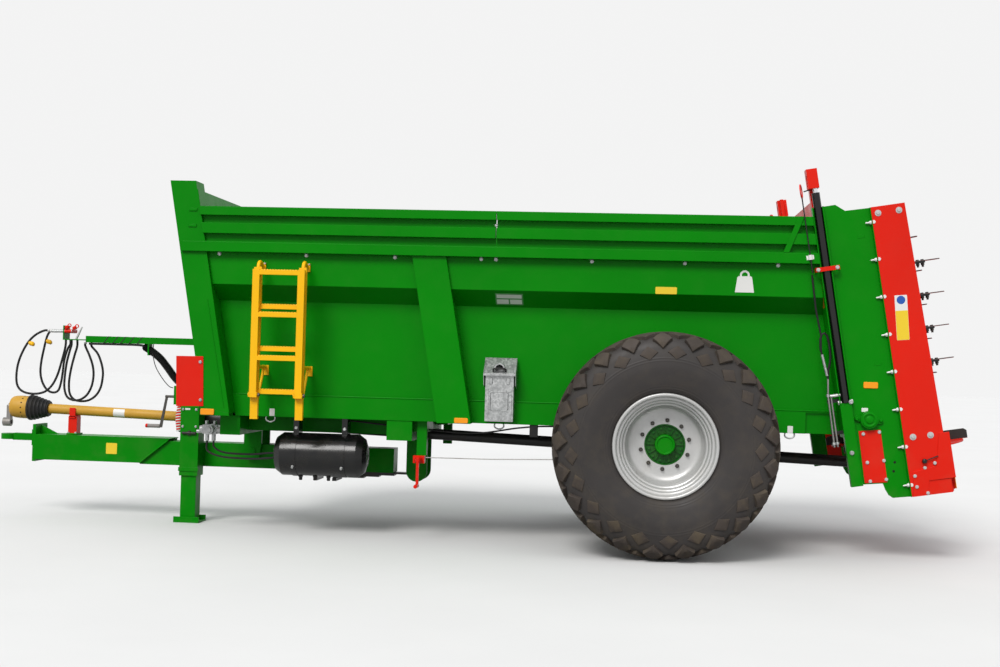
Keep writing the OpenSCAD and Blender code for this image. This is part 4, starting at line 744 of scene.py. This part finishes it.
# Blank type plate with three pale fields, on the flare between the walls
typePlate = {"middle": np.array([0.411, -0.849, 1.759]), "thickness": 0.0015,
             "axes": np.column_stack([[1, 0, 0], [0, -0.788, 0.616], [0, -0.616, -0.788]]),
             "plate": (-0.1, 0.1, -0.062, 0.062),
             "fields": [(-0.09, 0.09, 0.012, 0.05), (-0.09, -0.005, -0.05, -0.002),
                        (0.005, 0.09, -0.05, -0.002)]}
sheet = slab(rounded(*typePlate["plate"], 0.006), typePlate["thickness"], 0.0005)
addPiece("type_plate", copies(sheet, typePlate["middle"], typePlate["axes"]), "plate")
fields = join(*[slab(rounded(*extent, 0.003), 0.0005, 0.0002) for extent in typePlate["fields"]])
front = typePlate["middle"] + typePlate["thickness"] * typePlate["axes"][:, 2]
addPiece("type_plate_fields", copies(fields, front, typePlate["axes"]), "label")
print("bolts, reflectors and blank plates")

# Side panels' rear edge: a bolt and a pointed tongue at each height, and two raised marks on the panel
clips = {"heights": [1.443, 1.183, 0.921, 0.659, 0.4, 0.138, -0.122, -0.386],
         "edge": 0.372, "sunk": 0.0063, "boltY": -0.9555, "tongueY": -0.975, "head": (0.022, 0.014),
         "tip": [(0.0085, 0.006), (0.0085, 0.012), (0.0062, 0.0125), (0.0062, 0.03), (0.0035, 0.041)],
         "tongue": [(0.001, -0.012), (0.013, -0.012), (0.021, 0), (0.013, 0.012), (0.001, 0.012)],
         "marks": [(0.262, 0.308, 1.345, 1.369), (0.255, 0.301, 0.455, 0.479)], "panelY": -0.94}
boltPlaces = rearPoints([(clips["edge"] - clips["sunk"], clips["boltY"], w) for w in clips["heights"]])
clipBolts = copies(join(hexHead(*clips["head"]), spindle(clips["tip"], 12)), boltPlaces, rearForward)
tonguePlaces = rearPoints([(clips["edge"], clips["tongueY"], w) for w in clips["heights"]])
tongues = copies(slab(clips["tongue"], 0.004), tonguePlaces, leftRearFace)
addPiece("panel_clips", bothSides(join(clipBolts, tongues)), "label")
marks = join(*[slab(rounded(*extent, 0.004), 0.0008, 0.0003) for extent in clips["marks"]])
addPiece("panel_marks", copies(marks, rearPoint(0, clips["panelY"], 0), leftRearFace), "green")

# Pipes on the rear posts, by u and w, with their nuts and the collar under the hose's loop
postPipes = {"y": -0.95, "radius": 0.0074, "collarRadius": 0.0105, "nut": (0.024, 0.018), "nutWasher": 0.0125,
             "front": [(-0.0975, -0.066), (-0.092, 0.291), (-0.076, 0.409)],
             "back": [(-0.0736, -0.066), (-0.0722, 0.289)],
             "collar": [(-0.0783, 0.43), (-0.0935, 0.582)],
             "nuts": [(-0.0922, 0.285), (-0.0722, 0.28), (-0.0975, -0.05), (-0.0736, -0.05)]}
frontPipe, backPipe, collarPath, nutPlaces = (
    rearPoints([(u, postPipes["y"], w) for u, w in postPipes[part]])
    for part in ("front", "back", "collar", "nuts"))
pipes = [tube(path, postPipes["radius"], 16) for path in (frontPipe, backPipe)]
addPiece("post_pipes", bothSides(join(*pipes)), "steel")
fittings = join(tube(collarPath, postPipes["collarRadius"], 16),
                heads(*postPipes["nut"], nutPlaces, rearUp, postPipes["nutWasher"]))
addPiece("pipe_fittings", bothSides(fittings), "zinc")

# The gate's position indicator: a rod with a flat ring on the gate, in a guide on the post
indicator = {"u": -0.084, "y": -0.999, "rod": (1.148, 1.674), "rodRadius": 0.0045, "guideFoot": 1.2415,
             "guide": [(0.006, 0), (0.0139, 0), (0.0139, 0.034), (0.006, 0.034)],
             "plate": [(-0.026, 0.0105, 0.002), (0.026, 0.0138, 0.032)],
             "link": [(-0.066, -0.999, 1.716), (-0.04, -0.985, 1.722), (-0.012, -0.95, 1.726)],
             "ringHeight": 1.72, "ringRadius": 0.046, "ringHalfWidth": 0.0046, "ringHalfThickness": 0.004,
             "ringTurn": (0.247, 0.969)}


def flatRing(settings):
    # A ring upright in the leaning frame, turned about its height: corners in and out, front and back
    hoop = circle(1, 40)
    sideways = settings["ringTurn"][0] * rearU + settings["ringTurn"][1] * toRight
    hoop = hoop[:, :1] * sideways + hoop[:, 1:] * rearW
    middle = rearPoint(settings["u"], settings["y"], settings["ringHeight"])
    radius, half, thin = settings["ringRadius"], settings["ringHalfWidth"], settings["ringHalfThickness"]
    corners = ((radius - half, -thin), (radius + half, -thin), (radius + half, thin), (radius - half, thin))
    rings = np.stack([middle + r * hoop + depth * rearU for r, depth in corners], axis=1)
    return loft(rings, loop=True)


guide = join(turned(indicator["guide"], 24), brick(*indicator["plate"], 0.001))
guide = copies(guide, rearPoint(indicator["u"], indicator["y"], indicator["guideFoot"]), rearUp)
addPiece("indicator_guides", bothSides(guide), "label")
rod = tube(rearPoints([(indicator["u"], indicator["y"], w) for w in indicator["rod"]]), indicator["rodRadius"])
link = tube(rearPoints(indicator["link"]), indicator["rodRadius"], 10)
addPiece("indicator_rods", bothSides(join(rod, link)), "black", "gate")
addPiece("indicator_rings", bothSides(flatRing(indicator)), "red", "gate")

# The cylinders' foot pins with their nuts, elbows and clamp bolts, all by u, y and w
cylinderFoot = {"pin": [(-0.022, -0.96, 0.236), (0.058, -0.96, 0.236)], "pinRadius": 0.01,
                "pinHead": (0.026, 0.012), "clampHead": (0.022, 0.012),
                "elbow": [(-0.078, -0.96, 0.289), (-0.05, -0.966, 0.289), (-0.012, -0.968, 0.289)],
                "elbowRadius": 0.0105, "clampBolts": [(-0.043, -1.001, 1.165), (0.088, -1.001, 1.165)]}
pinEnds, elbow, clampPlaces = (rearPoints(cylinderFoot[part]) for part in ("pin", "elbow", "clampBolts"))
pins = join(tube(pinEnds, cylinderFoot["pinRadius"], 16), tube(elbow, cylinderFoot["elbowRadius"], 14),
            heads(*cylinderFoot["clampHead"], clampPlaces, leftRearFace),
            heads(*cylinderFoot["pinHead"], pinEnds[0], rearForward),
            heads(*cylinderFoot["pinHead"], pinEnds[1], rearBackward))
addPiece("cylinder_pins", bothSides(pins), "silver")

# The floor shaft's bearings, the latch knobs on the housings, and the lamps' lenses
bearing = {"place": (0.159, -0.984, 0.0935), "ears": [(0.079, -0.956, 0.1095), (0.239, -0.956, 0.0775)],
           "ring": [(0.036, 0), (0.052, 0), (0.052, 0.0035), (0.048, 0.006), (0.04, 0.006), (0.036, 0.0035)],
           "cup": [(0.026, 0), (0.026, 0.004), (0.02, 0.007)], "earBolt": (0.02, 0.011)}
face = join(turned(bearing["ring"], 40), spindle(bearing["cup"], 32))
face = copies(face, rearPoint(*bearing["place"]), leftRearFace)
ears = heads(*bearing["earBolt"], rearPoints(bearing["ears"]), leftRearFace)
addPiece("bearing_rings", bothSides(join(face, ears)), "green")
latch = {"place": (3.309, -0.975, 0.711),
         "knob": [(0.012, 0), (0.015, 0.004), (0.017, 0.02), (0.014, 0.03), (0.006, 0.034)],
         "bar": [(3.309, -0.99, 0.711), (3.36, -0.992, 0.733), (3.4, -0.99, 0.75)], "barRadius": 0.004}
knob = copies(spindle(latch["knob"], 24), latch["place"], leftFace)
addPiece("latch_knobs", bothSides(join(knob, tube(latch["bar"], latch["barRadius"], 10))), "black")
lamp = {"corner": (0.684, -0.975, 0), "height": (-0.453, -0.357),
        "panes": {"tail_lenses": ("lens", (0.099, 0.158)), "turn_lenses": ("reflector", (0.05, 0.096))}}
for name, (finish, width) in lamp["panes"].items():
    pane = slab(rounded(*width, *lamp["height"], 0.004), 0.004)
    addPiece(name, bothSides(copies(pane, rearPoint(*lamp["corner"]), rearBackward)), finish)
print("rear fittings")

# Beater knives: a black carrier with two bolts and a thin blade, along the same helix as the frame's.
# Outlines are by distance from the axis and across; the rest are heights on the knife
knives = {
    "axis": (0.472, -0.455, 0), "base": 0.258, "pitch": 0.48, "step": 60, "count": 14, "turn": 240.0,
    "carrier": [(0.205, -0.0346), (0.2905, -0.0346), (0.3187, -0.0204), (0.3187, 0.0204), (0.2905, 0.0346),
                (0.205, 0.0346)],
    "carrierFoot": -0.0006, "carrierThickness": 0.0132,
    "blade": [(0.252, -0.0246), (0.3955, -0.0246), (0.4256, -0.0084), (0.4256, 0.0044), (0.3955, 0.0246),
              (0.252, 0.0246)],
    "bladeFoot": 0.0124, "bladeThickness": 0.0062, "bladeGround": 0.0015,
    "bolts": [(0.268, 0, 0), (0.303, 0, 0)], "boltHead": [(0.012, 0.0186), (0.012, 0.0246), (0.009, 0.0266)],
    "boltEnd": [(0.0085, -0.03), (0.0085, -0.017), (0.013, -0.0165), (0.013, -0.0006)],
}


def alongHelix(shape, settings):
    # Copies of a knife's shape up both flights, each turned with its place on the helix
    turns = np.arange(settings["count"]) * settings["step"]
    angle = np.radians(np.concatenate([turns, turns + 180]) + settings["turn"])
    height = np.tile(settings["base"] + turns / 360 * settings["pitch"], 2)
    outwards = np.cos(angle)[:, None] * rearU + np.sin(angle)[:, None] * toRight
    around = -np.sin(angle)[:, None] * rearU + np.cos(angle)[:, None] * toRight
    axes = np.stack([outwards, around, np.broadcast_to(rearW, outwards.shape)], axis=2)
    return copies(shape, rearPoint(*settings["axis"]) + height[:, None] * rearW, axes)


carrier = copies(slab(knives["carrier"], knives["carrierThickness"]), (0, 0, knives["carrierFoot"]))
blade = slab(knives["blade"], knives["bladeThickness"], knives["bladeGround"])
blade = copies(blade, (0, 0, knives["bladeFoot"]))
knifeBolts = copies(join(spindle(knives["boltHead"], 16), spindle(knives["boltEnd"], 12)), knives["bolts"])
for name, shape, finish in (("knife_carriers", carrier, "black"), ("knife_blades", blade, "blade"),
                            ("knife_bolts", knifeBolts, "nut")):
    whole = alongHelix(shape, knives)
    addPiece(name + "_left", whole, finish, "beater_left")
    addPiece(name + "_right", mirrored(whole), finish, "beater_right")
print("knives")

# Hose arm: slanted ties, two hoses under it, and the ribbed sleeve that takes them down to the front frame
arm = {
    "ties": [(x, 0, 1.396) for x in (-2.876, -2.8, -2.736, -2.668, -2.6)],
    "tie": [(-0.005, -0.0268, -0.0268), (0.005, 0.0268, 0.0268)],
    "tieSlant": [[1, 0, 0.75], [0, 1, 0], [0, 0, 1]],
    "bundle": [(-3.02, 1.36), (-2.8, 1.3605), (-2.62, 1.3595), (-2.555, 1.35)],
    "bundleSides": (-0.0135, 0.0135), "bundleRadius": 0.0088,
    "sleeve": [(-2.575, 1.352), (-2.523, 1.322), (-2.44, 1.261), (-2.372, 1.183), (-2.303, 1.098),
               (-2.2, 1.02), (-2.05, 0.972), (-1.9, 0.952), (-1.76, 0.948), (-1.7203, 0.948)],
    "sleeveRadius": 0.029, "ribHeight": 0.0028, "ribSteps": 5, "mouthSteps": 14, "mouthShare": 0.72,
}
addPiece("arm_ties", copies(brick(*arm["tie"], 0.001), arm["ties"], arm["tieSlant"]), "black")
bundle = [tube(smoothPath([(x, y, z) for x, z in arm["bundle"]], 0.02), arm["bundleRadius"])
          for y in arm["bundleSides"]]
sleeve = smoothPath([(x, 0, z) for x, z in arm["sleeve"]], 0.003)
step = np.arange(len(sleeve))
ribs = arm["sleeveRadius"] + arm["ribHeight"] * np.sin(step * 2 * np.pi / arm["ribSteps"])
ribs *= np.interp(step, [0, arm["mouthSteps"], len(sleeve)], [arm["mouthShare"], 1.0, 1.0])
addPiece("hose_bundle", join(*bundle, tube(sleeve, ribs, 20)), "rubber")

# Hose couplers: red caps, two with their lids raised, front rings and the rack's lever
couplers = {
    "sides": [-0.045, -0.015, 0.015, 0.045], "height": 1.455, "capX": -3.2121, "frontX": -3.3305,
    "cap": [(0.013, 0), (0.0152, 0.003), (0.0152, 0.052), (0.014, 0.0625), (0.006, 0.0625)],
    "front": [(0.0095, 0), (0.0142, 0), (0.0142, 0.018), (0.0095, 0.018)],
    "lid": [(0.015, 0), (0.0175, 0.004), (0.0175, 0.02), (0.013, 0.026)],
    "loop": [(0.01, -0.003), (0.016, -0.003), (0.016, 0.003), (0.01, 0.003)], "loopPlace": (0.024, 0, 0.018),
    "loopAxes": [[1, 0, 0], [0, 0, -1], [0, 1, 0]],
    "lids": [(-3.185, -0.052, 1.474), (-3.135, -0.022, 1.47)],
    "lidAxes": np.column_stack([[0.9, 0, 0.436], toRight, [-0.436, 0, 0.9]]),
    "lever": [(-3.122, -0.03, 1.392), (-3.097, -0.03, 1.445), (-3.075, -0.03, 1.492)],
    "leverRadii": [0.009, 0.008, 0.005],
}
caps = copies(spindle(couplers["cap"], 24),
              [(couplers["capX"], y, couplers["height"]) for y in couplers["sides"]], alongX)
lid = join(spindle(couplers["lid"], 24), copies(turned(couplers["loop"], 20), couplers["loopPlace"],
                                                couplers["loopAxes"]))
addPiece("coupler_caps", join(caps, copies(lid, couplers["lids"], couplers["lidAxes"])), "red")
fronts = copies(turned(couplers["front"], 24),
                [(couplers["frontX"], y, couplers["height"]) for y in couplers["sides"]], alongX)
lever = tube(couplers["lever"], couplers["leverRadii"])
addPiece("coupler_rings", join(fronts, lever), "silver")

# Jack: crank's grip, two-coloured coil with its hangers, cable, locking pin and plate bolts
jack = {
    "gripPlace": (-2.452, -0.1945, 0.733), "endPlace": (-2.47, -0.1945, 0.733),
    "grip": [(0.0135, 0), (0.0152, 0.003), (0.0148, 0.05), (0.0152, 0.095), (0.0135, 0.098)],
    "end": [(0.013, 0), (0.0155, 0.004), (0.0155, 0.018)],
    "coilFoot": (-2.1975, -0.205, 0.7), "coilHeight": 0.19, "coilTurns": 9, "coilWire": 0.0048,
    "coilRadius": 0.016, "coilSwell": 0.01,
    "hangers": [(-2.2, -0.212, 0.692), (-2.2, -0.212, 0.89)], "hanger": (0.0328, 0.014, 0.008),
    "cable": [(-2.505, 0.03, 1.372), (-2.492, -0.02, 1.3), (-2.455, -0.06, 1.2), (-2.39, -0.09, 1.11),
              (-2.325, -0.11, 1.045), (-2.288, -0.11, 1.03)], "cableRadius": 0.0035,
    "pin": [(-2.15, -0.2775, 0.69), (-2.04, -0.2775, 0.69)], "pinRadius": 0.0105,
    "face": -0.267, "stop": (-2.095, 0.69), "stopHead": (0.03, 0.018), "boltHead": (0.016, 0.009),
    "bolts": [(-2.15, 0.872), (-2.045, 0.872), (-2.15, 0.74), (-2.045, 0.74)],
}
addPiece("crank_grip", copies(spindle(jack["grip"], 24), jack["gripPlace"], alongX), "grip")
addPiece("crank_end", copies(spindle(jack["end"], 24), jack["endPlace"], alongX), "red")


def jackCoil(settings, start):
    # One strand of a helix that is widest at half its height
    share = np.linspace(0, 1, 280)
    angle = 2 * np.pi * (settings["coilTurns"] * share + start)
    radius = settings["coilRadius"] + settings["coilSwell"] * np.sin(np.pi * share)
    path = np.stack([radius * np.cos(angle), radius * np.sin(angle), settings["coilHeight"] * share], axis=-1)
    return tube(path + settings["coilFoot"], settings["coilWire"], 10, (0, 0, 1))


addPiece("jack_coil", jackCoil(jack, 0.0), "red")
addPiece("jack_coil_pale", jackCoil(jack, 0.5), "label")
jackCable = tube(smoothPath(jack["cable"], 0.02), jack["cableRadius"], 10)
hangers = copies(brick((0, 0, 0), jack["hanger"], 0.001), jack["hangers"])
addPiece("jack_cable", join(jackCable, hangers), "black")
stop = heads(*jack["stopHead"], (jack["stop"][0], jack["face"], jack["stop"][1]))
addPiece("jack_pin", join(tube(jack["pin"], jack["pinRadius"], 16), stop), "black")
addPiece("jack_bolts", heads(*jack["boltHead"], [(x, jack["face"], z) for x, z in jack["bolts"]]), "zinc")

# PTO shaft on its rest: blank label wrapped on the tube, near-black discs painted as the shade in the vents
# round the bell, saddle and foot with its bolts.
# Angles are in degrees, lengths along the shaft from its front
shaft = {"front": np.array([-3.333, 0, 0.832]), "slope": 1.6, "labelArc": (130, 230),
         "labelRadii": (0.0397, 0.0391), "labelStart": 0.538, "labelLength": 0.092,
         "vent": [(0.006, 0), (0.006, 0.0006)], "vents": 14, "ventCircle": 0.0899, "ventStart": -0.205}
slope = math.radians(shaft["slope"])
shaftAxes = np.column_stack([toRight, [math.sin(slope), 0, math.cos(slope)],
                             [math.cos(slope), 0, -math.sin(slope)]])
arc = np.radians(np.linspace(*shaft["labelArc"], 21))
outer, inner = (r * np.stack([np.cos(arc), np.sin(arc)], axis=-1) for r in shaft["labelRadii"])
wrap = slab(np.vstack([outer, inner[::-1]]), shaft["labelLength"], 0.00005)
wrapPlace = shaft["front"] + shaft["labelStart"] * shaftAxes[:, 2]
addPiece("shaft_label", copies(wrap, wrapPlace, shaftAxes), "label")
# Thin near-black discs in the dark finish: painted shade inside the bell's vents
vent = copies(spindle(shaft["vent"], 16), (0, 0, 0), alongX)
vents = aroundAxis(vent, shaft["ventCircle"], shaft["vents"], shaft["ventStart"])
addPiece("bell_vent_shade", copies(vents, shaft["front"], shaftAxes), "dark")
rest = {"foot": [(-3.1656, -0.0606, 0.6321), (-3.0794, 0.0606, 0.6446)],
        "cheek": [(-3.15, -0.0505, 0.762), (-3.1, -0.044, 0.846)],
        "seat": [(-3.154, -0.0505, 0.7745), (-3.096, 0.0505, 0.783)],
        "bolts": [(-3.152, -0.052, 0.6446), (-3.093, -0.052, 0.6446)], "boltHead": (0.017, 0.011)}
addPiece("rest_foot", brick(*rest["foot"], 0.001), "green")
addPiece("rest_saddle", join(bothSides(brick(*rest["cheek"])), brick(*rest["seat"], 0.001)), "red")
addPiece("rest_bolts", heads(*rest["boltHead"], rest["bolts"], np.eye(3)), "silver")

# Rounded edges that catch the light, each a path and a radius
folds = {
    "rail": ([(-1.955, -0.9765, 2.1158), (2.548, -0.9765, 2.1158)], 0.0092),
    "board": ([(-1.8, -0.9722, 2.368), (2.51, -0.9722, 2.368)], 0.0085),
    "midPost": ([(0.165, -0.9556, 0.87), (-0.043, -0.9556, 2.046)], 0.0052),
    "frontPost": ([(-1.587, -0.9556, 0.89), (-1.87, -0.9556, 2.5)], 0.0052),
    "sill": ([(-1.56, -0.7985, 1.0245), (2.7, -0.7985, 1.0245)], 0.006),
    "rearPost": (rearPoints([(0.0505, -0.981, w) for w in (-0.345, 0.4, 1.0, 1.595)]), 0.0052),
    "stiffener": ([(-2.541, -0.1095, 0.434), (-2.42, -0.1095, 0.534), (-2.316, -0.1095, 0.618)], 0.0065),
}
edges = [tube(path if len(path) > 2 else np.linspace(*path, 5), radius) for path, radius in folds.values()]
addPiece("edge_folds", bothSides(join(*edges)), "green")

# Front post: its foot, two tabs at its top, and the fold that runs down behind its rear edge
post = {"face": -0.96, "footFace": -0.9535, "footThickness": 0.0062,
        "foot": [(-1.8005, 0.925), (-1.8005, 0.8645), (-1.582, 0.8645), (-1.586, 0.8865), (-1.782, 0.931)],
        "fold": [(-1.7705, 1.704), (-1.7655, 1.704), (-1.6205, 0.923), (-1.6255, 0.923)],
        "tabs": [(-1.925, -0.9665, 2.34), (-1.925, -0.9665, 2.224)], "tab": (0.06, 0.0065, 0.022)}
addPiece("post_feet", bothSides(sideSheet(post["foot"], post["footFace"], post["footThickness"])), "green")
tabs = copies(brick((0, 0, 0), post["tab"]), post["tabs"])
addPiece("post_tabs", bothSides(join(sideSheet(post["fold"], post["face"], 0.003), tabs)), "green")
print("arm, drawbar, PTO shaft and post fittings")

# Ladder: two rows of low teeth on each rung, hinge bolts and the bolts of its upper plates
ladder = {"rails": [-1.372, -1.046], "teethFrom": -1.3325, "teethTo": -1.0855, "teeth": 13,
          "rows": (-0.009, 0.009), "rungTop": 0.015, "toothHalves": [(0.0095, 0.0055), (0.004, 0.004)],
          "toothHeight": 0.0075,
          "fixedY": -1.06, "fixed": [1.05, 1.355, 1.655], "foldedY": -1.106, "folded": [1.29, 1.598, 1.898],
          "hingeOut": 0.0368, "hinge": 1.03, "hingeBolt": (0.022, 0.012), "hookFace": -0.9373,
          "hookBolts": [(-0.013, 1.92), (0.013, 1.972)], "hookBolt": (0.012, 0.007)}


def rungTeeth(settings, section):
    # Each tooth a low pyramid without its tip, on top of the section's rungs
    corners = np.array([[-1, -1], [1, -1], [1, 1], [-1, 1]])
    foot, top = (corners * halves for halves in settings["toothHalves"])
    tooth = loft([lift(foot, 0), lift(top, settings["toothHeight"])])
    across = np.linspace(settings["teethFrom"], settings["teethTo"], settings["teeth"])
    places = [(x, settings[section + "Y"] + row, height + settings["rungTop"])
              for height in settings[section] for row in settings["rows"] for x in across]
    return copies(tooth, places)


addPiece("rung_teeth", rungTeeth(ladder, "fixed"), "yellow")
addPiece("folded_teeth", rungTeeth(ladder, "folded"), "yellow", "ladder_lower")
hingePlaces = [(rail + ladder["hingeOut"], ladder["foldedY"], ladder["hinge"]) for rail in ladder["rails"]]
addPiece("hinge_bolts", heads(*ladder["hingeBolt"], hingePlaces, alongX), "nut")
hookPlaces = [(rail + x, ladder["hookFace"], z) for rail in ladder["rails"] for x, z in ladder["hookBolts"]]
addPiece("hook_bolts", heads(*ladder["hookBolt"], hookPlaces), "zinc")
print("ladder fittings")

# Chock box: handle on the sloping lid, latches, and a bead embossed round its front panel
box = {"face": -0.9063, "handlePlace": (0.362, -0.9155, 1.2402), "handleRadius": 0.006,
       "handle": [(-0.045, 0, 0), (-0.045, 0, 0.018), (-0.03, 0, 0.03), (0.03, 0, 0.03), (0.045, 0, 0.018),
                  (0.045, 0, 0)],
       "lidAxes": np.column_stack([[1, 0, 0], [0, 0.72, 0.694], [0, -0.694, 0.72]]),
       "beadOut": (0.296, 0.43, 0.96, 1.1, 0.02, 6), "beadIn": (0.304, 0.422, 0.968, 1.092, 0.014, 6),
       "beadHeight": 0.003, "latches": [(0.288, -0.9143, 1.15), (0.413, -0.9143, 1.15)],
       "latch": (0.024, 0.008, 0.045)}
handle = tube(smoothPath(box["handle"], 0.008), box["handleRadius"])
addPiece("box_handle", copies(handle, box["handlePlace"], box["lidAxes"]), "black")
outside, inside = rounded(*box["beadOut"]), rounded(*box["beadIn"])
rings = [lift(outside, 0), lift((inside + outside) / 2, box["beadHeight"]), lift(inside, 0)]
bead = copies(loft(np.stack(rings, axis=1), loop=True), (0, box["face"], 0), leftFace)
latches = copies(brick((0, 0, 0), box["latch"]), box["latches"])
addPiece("box_trim", join(bead, latches), "zinc")

# Under the sills: lashing rings, brake pipe and cable, and the air tank's pipes, bolts and drains
lashing = {"places": [(x, -0.785, 0.8635) for x in (-1.3235, 0.3565, 2.417)], "wire": 0.0055,
           "bow": [(-0.031, 0.001), (-0.034, -0.014), (-0.03, -0.026), (-0.016, -0.035), (0, -0.038),
                   (0.016, -0.035), (0.03, -0.026), (0.034, -0.014), (0.031, 0.001)]}
bow = tube(smoothPath([(x, 0, z) for x, z in lashing["bow"]], 0.006), lashing["wire"])
addPiece("lashing_rings", bothSides(copies(bow, lashing["places"])), "zinc")
brakes = {
    "pipe": [(-0.8, -0.6, 0.845), (-0.25, -0.6, 0.8), (0.18, -0.78, 0.79), (0.505, -0.78, 0.838),
             (0.736, -0.78, 0.856), (1.2, -0.78, 0.856), (1.5, -0.78, 0.84), (1.535, -0.76, 0.8358)],
    "pipeRadius": 0.006, "post": [(0.577, -0.792, 0.775), (0.637, -0.768, 0.8632)],
    "cable": [(-0.178, -0.75, 0.6), (0.3, -0.75, 0.603), (1.512, -0.75, 0.64)], "cableRadius": 0.0035,
    "lever": [(1.5, -0.757, 0.62), (1.525, -0.743, 0.7158)],
}
tank = {
    "pipes": [[(-1.8, -0.6, 0.662), (-1.79, -0.605, 0.61), (-1.7, -0.62, 0.575), (-1.5, -0.65, 0.572),
               (-1.36, -0.68, 0.588), (-1.307, -0.69, 0.59)],
              [(-1.85, -0.6, 0.662), (-1.84, -0.61, 0.585), (-1.72, -0.63, 0.545), (-1.5, -0.66, 0.54),
               (-1.36, -0.67, 0.55), (-1.304, -0.675, 0.56)]],
    "pipeRadius": 0.0075, "axis": (-0.69, 0.59), "radius": 0.161, "bands": [-1.138, -0.778],
    "strapBolt": (0.019, 0.011), "endBolt": (0.017, 0.02), "strap": (-0.75, 0.785),
    "strapEnd": np.column_stack([[1, 0, 0], [0, -0.5, 0.866], [0, -0.866, -0.5]]),
    "drains": [(x, -0.69, 0.4335) for x in (-1.108, -1.0, -0.9)],
    "drain": [(0.01, -0.034), (0.013, -0.03), (0.013, -0.012), (0.017, -0.01), (0.017, 0.001)],
}
lines = [tube(smoothPath(brakes["pipe"], 0.02), brakes["pipeRadius"])]
lines += [tube(smoothPath(path, 0.012), tank["pipeRadius"]) for path in tank["pipes"]]
addPiece("brake_lines", join(brick(*brakes["post"], 0.003), *lines), "rubber")
brakeCable = tube(brakes["cable"], brakes["cableRadius"], 10)
addPiece("brake_cable", join(brakeCable, brick(*brakes["lever"])), "steel")
outY, outZ = tank["radius"] * tank["strapEnd"][1:, 2] + tank["axis"]
tankBolts = join(heads(*tank["strapBolt"], [(x, *tank["strap"]) for x in tank["bands"]]),
                 heads(*tank["endBolt"], [(x, outY, outZ) for x in tank["bands"]], tank["strapEnd"]))
addPiece("tank_bolts", tankBolts, "zinc")
addPiece("tank_drains", copies(spindle(tank["drain"], 20), tank["drains"]), "black")
print("chock box, rings, brake lines and tank fittings")

# Floor, world and sun, whose turns are in degrees
stageLook = {"floorSize": 120.0, "pale": 0.7, "mottle": 0.012, "bounce": 0.2, "zenith": 0.98, "horizon": 0.62,
             "skyTint": (0.97, 0.985, 1.0), "backdrop": 0.9, "sun": 2.1, "sunSpread": 24,
             "sunColour": (1.0, 0.985, 0.96), "sunTilt": 48, "sunTurn": -18}


def seenDirectly(tree):
    # 1 for camera, glossy and transmission rays, 0 for the light that falls on the object
    rays = addNode(tree, "ShaderNodeLightPath").outputs
    return total(tree, total(tree, rays["Is Camera Ray"], rays["Is Glossy Ray"]), rays["Is Transmission Ray"])


def layFloor(look):
    half = look["floorSize"] / 2
    corners = [(-half, -half, 0), (half, -half, 0), (half, half, 0), (-half, half, 0)]
    material, tree, shader = newMaterial("pale floor")
    place = addNode(tree, "ShaderNodeTexCoord").outputs["Object"]
    dark, light = look["pale"] - look["mottle"], look["pale"] + look["mottle"]
    grey = remap(tree, noise(tree, place, 0.7, 4), 0.3, 0.7, dark, light)
    pale = addNode(tree, "ShaderNodeCombineColor", {0: grey, 1: grey, 2: grey}).outputs[0]
    colour = mixColour(tree, seenDirectly(tree), [look["bounce"]] * 3, pale)
    tree.links.new(colour, shader.inputs["Base Color"])
    shader.inputs["Roughness"].default_value = 0.9
    shader.inputs["Specular IOR Level"].default_value = 0.1
    mesh = bpy.data.meshes.new("floor_plane")
    mesh.from_pydata(corners, [], [(0, 1, 2, 3)])
    mesh.materials.append(material)
    floor = bpy.data.objects.new("floor_plane", mesh)
    bpy.context.collection.objects.link(floor)


def lightScene(look):
    world = bpy.data.worlds.new("soft sky")
    bpy.context.scene.world = world
    world.use_nodes = True
    tree = world.node_tree
    direction = addNode(tree, "ShaderNodeTexCoord").outputs["Generated"]
    up = addNode(tree, "ShaderNodeSeparateXYZ", {0: direction}).outputs["Z"]
    sky = mixColour(tree, remap(tree, up, 0.0, 0.9, 0.0, 1.0), [look["horizon"]] * 3,
                    [look["zenith"] * c for c in look["skyTint"]])
    colour = mixColour(tree, seenDirectly(tree), sky, [look["backdrop"]] * 3)
    tree.links.new(colour, tree.nodes["Background"].inputs["Color"])
    sun = bpy.data.lights.new("sun", "SUN")
    sun.energy = look["sun"]
    sun.angle = math.radians(look["sunSpread"])
    sun.color = look["sunColour"]
    lamp = bpy.data.objects.new("sun", sun)
    bpy.context.collection.objects.link(lamp)
    lamp.rotation_euler = Euler((math.radians(look["sunTilt"]), 0, math.radians(look["sunTurn"])))


layFloor(stageLook)
lightScene(stageLook)
bpy.context.scene.view_settings.view_transform = "Standard"
print("stage and light")
